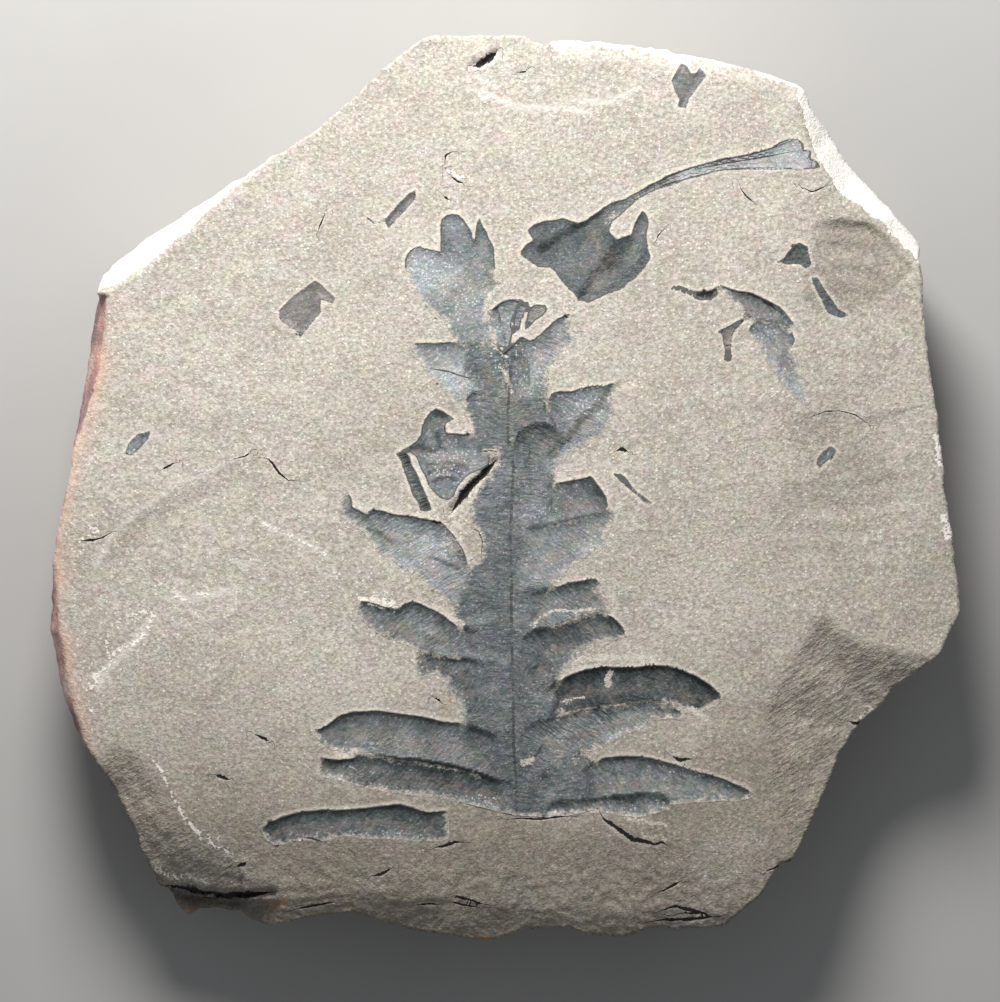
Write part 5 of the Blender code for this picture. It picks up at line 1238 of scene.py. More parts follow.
def ledge(points):
    """The sunken ledge below the crevice: a steep wall under the lip, fading out towards its right end."""
    lip = np.asarray(CREVICE_LIP, float)
    below = np.interp(points[:, 0], lip[:, 0], lip[:, 1]) - points[:, 1]
    open_end = np.clip((LEDGE_END - points[:, 0]) / LEDGE_FADE, 0.0, 1.0)
    wall = np.clip((below - CREVICE_EDGE) / CREVICE_WALL, 0.0, 1.0)
    groove = CREVICE_DEPTH * np.exp(-((below - CREVICE_WIDTH / 2) / CREVICE_WIDTH) ** 2)
    return np.where(below > 0.0, open_end * wall * (LEDGE_DROP + groove), 0.0)


def crack_grooves(points):
    """Depth of the wider open cracks: a V-shaped groove along each line, as deep as it is wide."""
    fall = np.zeros(len(points))
    for half_width, line in CRACKS:
        if half_width >= OPEN_CRACK:
            near = box_pick(points, line, SIGHT)
            away = distance_to_line(points[near], line)
            fall[near] += 2.0 * half_width * np.clip(1.0 - away / (1.2 * half_width), 0.0, 1.0)
    return fall


def foot_sag(points):
    """The face bends gently down below the leaf's base, before the broken margin at the foot."""
    below = np.interp(points[:, 0], *np.transpose(SAG_LINE)) - points[:, 1]
    return SAG_SLOPE * np.maximum(below, 0.0) ** 2 / (np.maximum(below, 0.0) + SAG_SOFT)


def terraced(depth, points):
    """A depth broken into uneven steps, like the torn edges of thin layers: flat treads and steep risers."""
    wander = 1.1 * hills(points, 3.4, 81) + 0.45 * hills(points, 1.5, 82) + 0.2 * hills(points, 0.8, 83)
    turn = 2 * math.pi * (depth / TERRACE_STEP + wander)
    shown = TERRACE_STRENGTH * smooth(depth, 0.15, 0.9) * smooth(-points[:, 1], 41.0, 45.0)
    return depth - shown * TERRACE_STEP / (2 * math.pi) * np.sin(turn)


def stone_height(points):
    """Height of the stone's face: the rolling bedding plane, its fine relief, less all that broke away."""
    x, y = points[:, 0], points[:, 1]
    rolling = BEDDING_SWELL * np.sin(0.055 * x + 0.6) * np.cos(0.047 * y - 0.4)
    rolling += BEDDING_RIPPLE * np.sin(0.13 * x - 0.09 * y)
    fine = 0.16 * hills(points, 13.0, 1) + 0.09 * hills(points, 5.5, 2) + 0.04 * hills(points, 2.3, 3)
    fine += 0.018 * hills(points, 1.1, 8)
    falls = bevel_falls(points)
    broken = np.max(list(falls.values()), axis=0)
    rough = smooth(broken, 0.1, 1.2)
    for size, height, seed in ((5.0, 0.22, 4), (2.0, 0.12, 5), (1.0, 0.05, 6)):
        fine += rough * height * hills(points, size, seed)
    for name, centre, spacing, height in BREAK_RIPPLES:
        reach = np.hypot(x - centre[0], y - centre[1]) + 0.8 * hills(points, 9.0, 7)
        fine += height * smooth(falls[name], 0.1, 0.8) * np.sin(2 * math.pi * reach / spacing)
    lost = terraced(broken + foot_sag(points), points)
    return FACE_HEIGHT + rolling + fine - lost - scars(points) - ledge(points) - crack_grooves(points)


def lobe_outline(upper, lower):
    """A lobe's margins as one closed outline, with their shared base and tip once each."""
    return upper + lower[-2:0:-1]


def film_outlines(source):
    """The closed outlines of a film: one for each lobe, or a shred's single one."""
    if isinstance(source, dict):
        return [lobe_outline(upper, lower) for upper, lower in source.values()]
    return [source]


def margin_chatter(points):
    """Small random shifts that break up a drawn margin, in mm."""
    return 0.09 * hills(points, 1.6, 11) + 0.03 * hills(points, 0.8, 12)


def film_gap(points, sources):
    """Distance to the nearest film's margin, negative on the film, up to how far margins are seen."""
    gap = np.full(len(points), SIGHT)
    for source in sources:
        for outline in film_outlines(source):
            near = box_pick(points, outline, SIGHT)
            if near.any():
                away = distance_to_line(points[near], closed(outline))
                away = np.where(inside(points[near], outline), -away, away)
                gap[near] = np.minimum(gap[near], away)
    return gap + margin_chatter(points)


def crispness(points, sources):
    """1 beside a crisp margin of a leaf, mostly an upper one, and 0 beside a soft lower one."""
    upper_gap = np.full(len(points), SIGHT)
    lower_gap = np.full(len(points), SIGHT)
    for source in sources:
        for name, (upper, lower) in source.items():
            near = box_pick(points, upper + lower, SIGHT)
            upper_gap[near] = np.minimum(upper_gap[near], distance_to_line(points[near], upper))
            other_gap = upper_gap if name in CRISP_LOBES else lower_gap
            other_gap[near] = np.minimum(other_gap[near], distance_to_line(points[near], lower))
    return smooth(lower_gap - upper_gap, -0.1, 0.5)


def margin_kind(points, gap, leaves):
    """Crispness where a leaf's margin is near; shreds are crisp all round, so the rest counts as crisp."""
    kind = np.ones(len(points))
    near = np.flatnonzero(np.abs(gap) < 2.0)
    if leaves:
        to_leaf = np.abs(film_gap(points[near], leaves))
        kind[near] = np.where(to_leaf < np.abs(gap[near]) + 0.3, crispness(points[near], leaves), 1.0)
    return kind


def snapped(points, gap_of, reach):
    """Moves the points near a margin onto it: down the slope of the gap, by the gap. Their gap becomes 0."""
    points = points.copy()
    gap = gap_of(points)
    near = np.abs(gap) < reach
    here, value = points[near], gap[near]
    probe = 0.02
    for _ in range(2):
        slope_x = (gap_of(here + (probe, 0.0)) - gap_of(here - (probe, 0.0))) / (2 * probe)
        slope_y = (gap_of(here + (0.0, probe)) - gap_of(here - (0.0, probe))) / (2 * probe)
        steepness = np.maximum(slope_x ** 2 + slope_y ** 2, 0.4)
        move = np.clip(value / steepness, -reach, reach)
        here = here - np.column_stack((move * slope_x, move * slope_y))
        value = gap_of(here)
    points[near] = here
    gap[near] = 0.0
    return points, gap


def grid_triangles(rows, columns, points, gap):
    """Two triangles for each cell of a grid, cut along the shorter diagonal or the one clear of a margin."""
    index = np.arange(rows * columns).reshape(rows, columns)
    a, b = index[:-1, :-1].ravel(), index[1:, :-1].ravel()
    c, d = index[1:, 1:].ravel(), index[:-1, 1:].ravel()
    shorter = np.hypot(*(points[b] - points[d]).T) < np.hypot(*(points[a] - points[c]).T)
    other = (gap[a] * gap[c] < 0.0) | (shorter & (gap[b] * gap[d] >= 0.0))
    other = other[:, None]
    first = np.where(other, np.column_stack((a, b, d)), np.column_stack((a, b, c)))
    second = np.where(other, np.column_stack((b, c, d)), np.column_stack((a, c, d)))
    return np.vstack((first, second))


def ring_walls(upper, lower):
    """Quads, cut in two, between two rings of vertex numbers that run the same way, facing outwards."""
    upper_next, lower_next = np.roll(upper, -1), np.roll(lower, -1)
    first = np.column_stack((upper, lower, lower_next))
    second = np.column_stack((upper, lower_next, upper_next))
    return np.vstack((first, second))


def open_edges(triangles):
    """Directed edges that only one triangle has."""
    edges = np.vstack((triangles[:, [0, 1]], triangles[:, [1, 2]], triangles[:, [2, 0]]))
    size = edges.max() + 1
    forward = edges[:, 0] * size + edges[:, 1]
    backward = edges[:, 1] * size + edges[:, 0]
    return edges[~np.isin(forward, backward)]


def mesh_object(name, places_mm, triangles, crisp, fields, material):
    """Puts a finished surface into an object, smooth-shaded apart from its crisp walls, with its fields as
    attributes of its points."""
    mesh = bpy.data.meshes.new(name)
    mesh.vertices.add(len(places_mm))
    mesh.vertices.foreach_set("co", (places_mm * MM).astype(np.float32).ravel())
    mesh.loops.add(3 * len(triangles))
    mesh.loops.foreach_set("vertex_index", triangles.astype(np.int32).ravel())
    mesh.polygons.add(len(triangles))
    mesh.polygons.foreach_set("loop_start", np.arange(0, 3 * len(triangles), 3, dtype=np.int32))
    mesh.polygons.foreach_set("use_smooth", ~crisp)
    mesh.update(calc_edges=True)
    edges = np.empty(len(mesh.loops), np.int32)
    mesh.loops.foreach_get("edge_index", edges)
    sharp = np.zeros(len(mesh.edges), bool)
    sharp[edges.reshape(-1, 3)[crisp]] = True
    mesh.edges.foreach_set("use_edge_sharp", sharp)
    for field, values in fields.items():
        attribute = mesh.attributes.new(field, "FLOAT", "POINT")
        attribute.data.foreach_set("value", values.astype(np.float32))
    mesh.materials.append(material)
    made = bpy.data.objects.new(name, mesh)
    bpy.context.scene.collection.objects.link(made)
    return made


def drawn_lines(points, rows):
    """For thin lines: signed distance to the nearest one as a multiple of its half width, which narrows to
    its ends, and 1 where a line is near enough for that distance to be trusted."""
    ratio = np.full(len(points), 9.0)
    nearest = np.full(len(points), SIGHT)
    for half_width, line in rows:
        near = np.flatnonzero(box_pick(points, line, LINE_SIGHT))
        if len(near):
            away, side, share = line_fields(points[near], line)
            width = half_width * np.clip(3.0 * np.minimum(share + 0.03, 1.03 - share), 0.12, 1.0)
            width = width * (1.0 + 0.5 * hills(points[near], 1.1, 22))
            closer = away < nearest[near]
            taken = near[closer]
            nearest[taken] = away[closer]
            ratio[taken] = (side * away / width)[closer]
    return np.clip(ratio, -9.0, 9.0), (nearest < LINE_SIGHT).astype(float)


def soft_bands(points, rows):
    """Strength of soft-edged bands along lines: full on the line, nothing at twice its half width."""
    strength = np.zeros(len(points))
    for half_width, line in rows:
        near = np.flatnonzero(box_pick(points, line, 2.5 * half_width))
        if len(near):
            away, _, share = line_fields(points[near], line)
            away = away + 0.3 * half_width * hills(points[near], 0.8, 21)
            band = smooth(-away, -2.0 * half_width, -0.5 * half_width)
            band = band * smooth(share * (1.0 - share), -0.02, 0.1)
            strength[near] = np.maximum(strength[near], band)
    return strength


def zones(points, rows):
    """Strength of soft-edged areas: nothing at their outlines, full a soft edge's width inside."""
    strength = np.zeros(len(points))
    for amount, soft, outline in rows:
        within = inside(points, outline) * smooth(distance_to_line(points, closed(outline)), 0.0, soft)
        strength = np.maximum(strength, amount * within)
    return strength


def outline_radius(angle):
    """Distance from the middle to the slab's outline in a direction, with a fine random chatter."""
    points = np.asarray(SILHOUETTE, float)
    angles = np.arctan2(points[:, 1], points[:, 0])
    order = np.argsort(angles)
    radius = np.interp(angle, angles[order], np.linalg.norm(points, axis=1)[order], period=2 * math.pi)
    round_place = 57.0 * np.column_stack((np.cos(angle), np.sin(angle)))
    return radius + 0.16 * hills(round_place, 1.3, 41) + 0.09 * hills(round_place, 0.6, 42) - 0.12


def bent_square(cells):
    """A square grid bent to the slab's outline: each square ring of the grid becomes a ring of the slab,
    and a point's share along its ring's side becomes its share of a quarter turn."""
    side = np.linspace(-1.0, 1.0, cells + 1)
    u, v = (axis.ravel() for axis in np.meshgrid(side, side, indexing="ij"))
    flat = np.abs(u) >= np.abs(v)
    larger = np.where(flat, u, v)
    share = np.where(flat, v, -u) / np.where(larger == 0.0, 1.0, larger)
    angle = 0.25 * math.pi * share + np.where(flat, 0.0, 0.5 * math.pi)
    angle = angle + np.where(larger < 0.0, math.pi, 0.0)
    angle = np.arctan2(np.sin(angle), np.cos(angle))
    radius = np.abs(larger) * outline_radius(angle)
    return radius[:, None] * np.column_stack((np.cos(angle), np.sin(angle)))


def rim_order(cells):
    """Vertex numbers round the rim of the grid, anticlockwise."""
    index = np.arange((cells + 1) ** 2).reshape(cells + 1, cells + 1)
    return np.concatenate((index[:-1, 0], index[-1, :-1], index[:0:-1, -1], index[0, :0:-1]))


def side_ring(rim, share):
    """One ring of the broken side: the rim drawn inwards, in uneven beds that split and fade."""
    angle = np.arctan2(rim[:, 1], rim[:, 0])
    radius = np.linalg.norm(rim, axis=1)
    level = FACE_HEIGHT * share
    arc = 57.0 * angle
    beds = hills(np.column_stack((arc / 9.0 + 30.0, np.full(len(arc), level / 1.1))), 1.0, 51)
    flakes = hills(np.column_stack((arc / 2.6 + 90.0, np.full(len(arc), level / 0.8))), 1.0, 52)
    grit = hills(np.column_stack((arc / 0.9 + 150.0, np.full(len(arc), level / 0.6))), 1.0, 53)
    waves = np.sin(5 * angle + 9 * share) + 0.6 * np.sin(13 * angle + 21 * share)
    calm = smooth(1.0 - share, 0.0, 0.12)
    inset = np.interp(share, SIDE_SHARES, SIDE_INSETS)
    inset = inset + calm * (0.45 * waves + 0.55 * beds + 0.35 * flakes + 0.12 * grit)
    inset = np.maximum(inset, 0.12 * (1.0 - share))
    return rim * (1.0 - inset / radius)[:, None]


def face_fields(points):
    """The stone's fields at points of its face, before any film's."""
    falls = bevel_falls(points)
    # Pale broken bevels that face the lamp, painted paler still as their highlight.
    breaks = [falls["upper_left"], falls["upper_right"], 0.5 * falls["top"]]
    crack_side, crack_near = drawn_lines(points, CRACKS)
    facet = smooth(np.maximum(falls["lower_right"], 0.5 * falls["lower_left"]), 0.0, 0.3)
    # Painted shade: the face darkens towards its foot and its right side, where the lamp's light falls off,
    # and in the shaded zones; the lit places are painted lighter.
    painted_shade = smooth(-points[:, 1], 18.0, 46.0) + 0.3 * smooth(points[:, 0], 20.0, 52.0)
    painted_shade = np.clip(painted_shade + zones(points, PAINTED_SHADE_ZONES), 0.0, 1.0) - places(points, LIT_PLACES)
    return {
        "pale_break_highlight": smooth(np.maximum.reduce(breaks), 0.05, 0.6),
        "rind": smooth(falls["left"], 0.02, 0.5),
        "rust": places(points, RUST_PLACES),
        "grey": np.maximum(places(points, GREY_PLACES), 0.6 * smooth(ledge(points), 0.5, 2.0)),
        "crack_side": crack_side,
        "crack_near": crack_near,
        "powder": soft_bands(points, SCRATCHES),
        "chip": soft_bands(points, CHIPS),
        "painted_shade": np.clip(painted_shade, 0.0, 1.0) * (1.0 - 0.3 * facet),
        "facet": facet,
        "pale": soft_bands(points, PALE_LINES),
        "rind_stain": rind_stain(points),
    }


def rind_stain(points):
    """The warm stain that the left rind leaves on the face beside it."""
    away = distance_to_line(points, LEFT_CREST)
    return np.exp(-away / STAIN_REACH) * (0.7 + 0.5 * hills(points, 5.0, 71))


def add_slab(material):
    """The stone: the bent square grid raised to the face's height and dropped under the films, the rings of
    its broken side, and the flat that it rests on, closed at the middle."""
    sources = list(FILMS.values())
    leaves = [source for source in sources if isinstance(source, dict)]
    cells = SLAB_CELLS
    points = bent_square(cells)
    spacing = 2.0 * 57.0 / cells

    def pocket_gap(here):
        return film_gap(here, sources) + FILM_OVERLAP

    rim = rim_order(cells)
    rim_places = points[rim]
    points, gap = snapped(points, pocket_gap, SNAP_REACH * spacing)
    points[rim] = rim_places
    height = stone_height(points)
    lip = MARGIN_LIP * np.exp(-(np.maximum(gap, 0.0) / 0.4) ** 2) * crispness(points, leaves)
    height = height + np.where(gap >= 0.0, lip, 0.0)
    drop = POCKET_DROP + film_depth(points)
    height = np.where(gap < 0.0, height - drop, height)
    triangles = [grid_triangles(cells + 1, cells + 1, points, gap)]
    rings = [np.column_stack((points, height))]
    fields = face_fields(points)
    fields["film_gap"] = gap - FILM_OVERLAP
    fields["crisp_margin"] = margin_kind(points, gap, leaves)
    fields["side"] = np.zeros(len(points))
    rim_fields = {name: values[rim] for name, values in fields.items()}
    rim_height = height[rim]
    rim_fields["pale_break_highlight"] = 0.25 * rim_fields["pale_break_highlight"]
    rim_fields["rind"] = rind_of_side(points[rim])
    rim_fields["side"] = np.ones(len(rim))
    stacks = {name: [values] for name, values in fields.items()}
    upper, count = rim, len(points)
    shares = np.linspace(1.0, 0.0, SIDE_ROWS + 1)[1:]
    for share in shares:
        ring = side_ring(points[rim], share)
        rings.append(np.column_stack((ring, rim_height * share)))
        lower = count + np.arange(len(rim))
        triangles.append(ring_walls(upper, lower))
        for name, values in rim_fields.items():
            stacks[name].append(values * smooth(share, 0.85, 1.0) if name in FACE_ONLY else values)
        upper, count = lower, count + len(rim)
    for name in FACE_ONLY:
        rim_fields[name] = np.zeros(len(rim))
    for step in range(1, FOOT_ROWS):
        rings.append(np.column_stack((ring * (1.0 - step / FOOT_ROWS), np.zeros(len(rim)))))
        lower = count + np.arange(len(rim))
        triangles.append(ring_walls(upper, lower))
        for name, values in rim_fields.items():
            stacks[name].append(values)
        upper, count = lower, count + len(rim)
    rings.append(np.zeros((1, 3)))
    triangles.append(np.column_stack((np.roll(upper, -1), upper, np.full(len(upper), count))))
    for name in stacks:
        stacks[name].append(rim_fields[name][:1])
    fields = {name: np.concatenate(values) for name, values in stacks.items()}
    faces = np.vstack(triangles)
    in_pocket = fields["film_gap"][faces] + FILM_OVERLAP
    crisp = (in_pocket < -1e-9).any(axis=1) & (in_pocket > -1e-9).any(axis=1)
    slab = mesh_object("slab_stone", np.vstack(rings), faces, crisp, fields, material)
    finish_piece(slab, "matrix_slab")


def rind_of_side(rim):
    """How far the weathered rind covers the side below each point of the rim: fully on the left only."""
    angle = np.degrees(np.arctan2(rim[:, 1], rim[:, 0])) % 360.0
    return smooth(angle, 150.0, 160.0) * smooth(-angle, -220.0, -205.0)


def vein_run(points, name, upper):
    """How far each point is along a lobe, across the run of its veins: they rise obliquely to its tip, and
    cross the blade level."""
    wander = 0.7 * hills(points, 4.0, 91) + 0.25 * hills(points, 1.7, 92)
    if name == "blade":
        return points[:, 1] + wander
    axis = np.subtract(upper[-1], upper[0])
    return points @ (axis / np.linalg.norm(axis)) + VEIN_SLANT * points[:, 1] + wander


def margin_wall(distance):
    """Share of a trough's depth at a distance from a crisp margin: a small step, then an easing slope."""
    past_lip = np.maximum(distance - FILM_OVERLAP, 0.0)
    slope = 1.0 - np.exp(-past_lip / MARGIN_WALL)
    return MARGIN_STEP * smooth(past_lip, 0.0, 0.2) + (1.0 - MARGIN_STEP) * slope


def film_fields(points, source):
    """A leaf film's own fields, lobe by lobe, the later lobes lying over the earlier: how deep it was
    pressed, the run of its veins, how light it is and how much carbon is left."""
    count = len(points)
    fields = {"depth": np.zeros(count), "vein": np.zeros(count)}
    fields.update({"shade": np.full(count, 0.4), "carbon": np.ones(count), "brown": np.zeros(count)})
    fields["streak"] = np.ones(count)
    covered = np.zeros(count)
    middle = rachis_gap(points) if source is FROND_LOBES else np.full(count, SIGHT)
    for name, (upper, lower) in source.items():
        outline = lobe_outline(upper, lower)
        near = np.flatnonzero(box_pick(points, outline, 0.3))
        here = points[near]
        within = inside(here, outline)
        edge = distance_to_line(here, closed(outline))
        taken = within | (edge < 0.12)
        near, here = near[taken], here[taken]
        if not len(near):
            continue
        from_upper, _, share_upper = line_fields(here, upper)
        from_lower, _, share_lower = line_fields(here, lower)
        width = np.maximum(from_upper + from_lower, 1e-6)
        across = from_lower / width
        share = (share_upper * from_lower + share_lower * from_upper) / width
        along = share * np.linalg.norm(np.subtract(upper[-1], upper[0]))
        base = smooth(along, 0.0, BASE_FADE)
        crisp = name in CRISP_LOBES
        rise = margin_wall(from_lower) if crisp else smooth(across, 0.0, 0.9)
        press = LOBE_DEPTHS.get(name, SHALLOW_LOBE) * margin_wall(from_upper) * rise
        if source is FROND_LOBES:
            centre = smooth(middle[near], 0.6, 4.5)
            press = press * centre + FLAT_DEPTH * (1.0 - centre)
        under_margin = np.exp(-from_upper / MARGIN_SHADE) * (0.3 + 0.7 * base) * LOBE_SHADOWS.get(name, 1.0)
        fade = 0.0 if crisp else LOBE_FADES.get(name, 1.0)
        thin = fade * smooth(-across, -0.42, -0.02) * (0.3 + 0.7 * base)
        own = {
            "depth": press,
            "vein": vein_run(here, name, upper),
            "streak": LOBE_STREAKS.get(name, 1.0),
            "shade": LOBE_SHADES.get(name, 0.4) + 0.16 * thin - 0.3 * under_margin,
            "carbon": 1.0 - 0.3 * thin * base,
            "brown": LOBE_BROWN.get(name, 0.0) + 0.5 * base * smooth(-np.abs(across - 0.4), -0.3, -0.05),
        }
        reach = 3.0 * (base * from_lower / LOBE_BLENDS.get(name, 0.8)) ** 2
        held = np.minimum(covered[near] / 1.5, 1.0) ** 2
        weight = np.where(held > 0.0, reach / (reach + held + 1e-12), 1.0)
        for field, values in own.items():
            fields[field][near] += weight * (values - fields[field][near])
        covered[near] = np.maximum(covered[near], np.where(within[taken], edge[taken], 0.0) + 1e-6)
    return fields


def rachis_gap(points):
    """Distance to the rachis."""
    return distance_to_line(points, RACHIS)


def film_depth(points):
    """How deep the films lie below the face at each point."""
    depth = np.full(len(points), SCRAP_DEPTH)
    for source in FILMS.values():
        if isinstance(source, dict):
            found = film_fields(points, source)["depth"]
            depth = np.maximum(depth, found)
    return depth


def add_film(node, source, material):
    """One leaf film: the grid cells within its margin, its upper face pressed into the stone, the same face
    a film's thickness lower, and the thin edge between them."""
    outlines = film_outlines(source)
    corners = np.vstack([np.asarray(outline, float) for outline in outlines])
    low, high = corners.min(0) - 0.6, corners.max(0) + 0.6
    columns = np.arange(low[0], high[0], FILM_CELL)
    rows = np.arange(low[1], high[1], FILM_CELL)
    x, y = np.meshgrid(columns, rows, indexing="ij")
    points = np.column_stack((x.ravel(), y.ravel()))

    def own_gap(here):
        return film_gap(here, [source])

    points, gap = snapped(points, own_gap, SNAP_REACH * FILM_CELL)
    triangles = grid_triangles(len(columns), len(rows), points, gap)
    middle_gap = own_gap(points[triangles].mean(axis=1))
    kept = np.where((gap[triangles] == 0.0).all(axis=1), middle_gap < 0.0, gap[triangles].mean(axis=1) < 0.0)
    triangles = triangles[kept]
    used, renumbered = np.unique(triangles, return_inverse=True)
    triangles = renumbered.reshape(-1, 3)
    points, gap = points[used], gap[used]
    if isinstance(source, dict):
        fields = film_fields(points, source)
    else:
        fields = scrap_fields(node, points)
    depth = fields.pop("depth") * smooth(-gap, FILM_OVERLAP, FILM_OVERLAP + 0.3) - FILM_LIFT
    if source is FROND_LOBES:
        groove = rachis_gap(points)
        depth = depth + RACHIS_DEPTH * np.exp(-(groove / RACHIS_WIDTH) ** 2) * (gap < 0.0)
    fields.update(worn_fields(points, gap, source))
    height = stone_height(points) - depth
    top = np.column_stack((points, height))
    bottom = np.column_stack((points, height - FILM_THICKNESS))
    count = len(points)
    edges = open_edges(triangles)
    wall_one = np.column_stack((edges[:, 1], edges[:, 0], edges[:, 0] + count))
    wall_two = np.column_stack((edges[:, 1], edges[:, 0] + count, edges[:, 1] + count))
    under = triangles[:, ::-1] + count
    faces = np.vstack((triangles, wall_one, wall_two, under))
    fields = {name: np.concatenate((values, values)) for name, values in fields.items()}
    crisp = np.zeros(len(faces), bool)
    crisp[len(triangles):len(triangles) + 2 * len(edges)] = True
    film = mesh_object(node + "_film", np.vstack((top, bottom)), faces, crisp, fields, material)
    finish_piece(film, node)


def scrap_fields(node, points):
    """A shred's fields: flat, with its own lightness and brownness, and its veins along it."""
    spread = points - points.mean(axis=0)
    _, _, axes = np.linalg.svd(spread[:: max(1, len(spread) // 500)], full_matrices=False)
    count = len(points)
    return {
        "depth": np.full(count, SCRAP_DEPTH),
        "vein": spread @ axes[1],
        "shade": SCRAP_SHADES[node] + 0.1 * hills(points, 1.5, 61),
        "carbon": np.ones(count),
        "streak": np.full(count, 0.4),
        "brown": np.full(count, SCRAP_BROWN.get(node, 0.0)),
    }


def worn_fields(points, gap, source):
    """Where a film is silvery, worn, darker or cracked, and how far each point is from its margin."""
    crack_side, crack_near = drawn_lines(points, CRACKS + RIBS)
    rachis_side = np.full(len(points), 9.0)
    if source is FROND_LOBES:
        away, side, _ = line_fields(points, RACHIS)
        rachis_side = side * away
    return {
        "silver": places(points, SILVER_PLACES),
        "bare": places(points, BARE_PLACES),
        "dark": places(points, DARK_PLACES),
        "fold": soft_bands(points, FOLDS_AND_EDGE_SHADOW),
        "film_gap": gap,
        "crisp_margin": margin_kind(points, gap, [source] if isinstance(source, dict) else []),
        "crack_side": crack_side,
        "crack_near": crack_near,
        "chip": soft_bands(points, CHIPS),
        "rachis_side": np.clip(rachis_side, -9.0, 9.0),
    }


def finish_piece(piece, node):
    """Makes a piece ride with the slab and stand for its solid."""
    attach(piece, "root")
    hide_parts(node)


def add(tree, kind, inputs=None, **settings):
    """Adds a shader node with its settings; each input takes a number, a colour or another node's output."""
    node = tree.nodes.new("ShaderNode" + kind)
    for name, value in settings.items():
        setattr(node, name, value)
    for name, value in (inputs or {}).items():
        if isinstance(value, bpy.types.NodeSocket):
            tree.links.new(value, node.inputs[name])
        else:
            node.inputs[name].default_value = value
    return node


def calc(tree, operation, *values, clamp=False):
    """The outcome of one sum on numbers or outputs."""
    return add(tree, "Math", dict(enumerate(values)), operation=operation, use_clamp=clamp).outputs[0]


def weighted(tree, *terms):
    """The sum of several outputs, each times its weight."""
    total = 0.0
    for value, weight in terms:
        total = calc(tree, "MULTIPLY_ADD", value, weight, total)
    return total


def mixed(tree, factor, first, second, way="MIX"):
    """Two colours mixed by a factor."""
    node = add(tree, "Mix", data_type="RGBA", blend_type=way)
    for number, value in ((0, factor), (6, first), (7, second)):
        if isinstance(value, bpy.types.NodeSocket):
            tree.links.new(value, node.inputs[number])
        else:
            node.inputs[number].default_value = value
    return node.outputs[2]


def noise(tree, position, size, detail=2.0, roughness=0.5, distortion=0.0):
    """Random clouds of a size in mm, around 0.5."""
    inputs = {"Vector": position, "Scale": 1.0 / size, "Detail": detail}
    inputs.update({"Roughness": roughness, "Distortion": distortion})
    return add(tree, "TexNoise", inputs).outputs[0]


def spread(tree, value, low, high):
    """Stretches a range of values to 0 to 1, with soft ends."""
    inputs = {"Value": value, "From Min": low, "From Max": high}
    return add(tree, "MapRange", inputs, interpolation_type="SMOOTHSTEP").outputs[0]


def shades(tree, value, stops):
    """A run of colours: each stop is a place from 0 to 1 and its colour."""
    node = add(tree, "ValToRGB", {"Fac": value})
    elements = node.color_ramp.elements
    elements.remove(elements[1])
    elements[0].position, elements[0].color = stops[0]
    for place, colour in stops[1:]:
        elements.new(place).color = colour
    return node.outputs["Color"]


def attribute(tree, name):
    """One of the fields stored at a piece's points."""
    return add(tree, "Attribute", attribute_name=name).outputs["Fac"]


def millimetres(tree):
    """The place on the piece, in mm."""
    place = add(tree, "TexCoord").outputs["Object"]
    return add(tree, "VectorMath", {0: place, "Scale": 1000.0}, operation="SCALE").outputs[0]


def new_group(name, inputs, outputs):
    """A shader node group with named sockets: gives its tree, its inner inputs and its output node."""
    tree = bpy.data.node_groups.new(name, "ShaderNodeTree")
    for socket, kind in inputs.items():
        tree.interface.new_socket(name=socket, in_out="INPUT", socket_type="NodeSocket" + kind)
    for socket, kind in outputs.items():
        tree.interface.new_socket(name=socket, in_out="OUTPUT", socket_type="NodeSocket" + kind)
    return tree, tree.nodes.new("NodeGroupInput").outputs, tree.nodes.new("NodeGroupOutput").inputs


def filled_group(tree, group, inputs):
    """A placed node group with its inputs set or linked."""
    node = add(tree, "Group", node_tree=group)
    for name, value in inputs.items():
        if isinstance(value, bpy.types.NodeSocket):
            tree.links.new(value, node.inputs[name])
        else:
            node.inputs[name].default_value = value
    return node.outputs


def tints(tree, position, size, contrast):
    """Random clouds of colour around mid grey, each hue on its own."""
    inputs = {"Vector": position, "Scale": 1.0 / size, "Detail": 2.0, "Roughness": 0.6}
    clouds = add(tree, "TexNoise", inputs).outputs[1]
    low = (0.5 - 0.5 * contrast,) * 3
    sharper = add(tree, "VectorMath", {0: clouds, 1: (contrast,) * 3, 2: low}, operation="MULTIPLY_ADD")
    return sharper.outputs[0]


def sparkle_mask(tree, position, size, share):
    """Small round dots in a share of the cells of a random net."""
    net = add(tree, "TexVoronoi", {"Vector": position, "Scale": 1.0 / size}).outputs
    random = add(tree, "SeparateColor", {"Color": net["Color"]}).outputs
    chosen = spread(tree, random[0], 1.0 - share, 1.03 - share)
    return calc(tree, "MULTIPLY", spread(tree, net["Distance"], 0.5, 0.28), chosen)


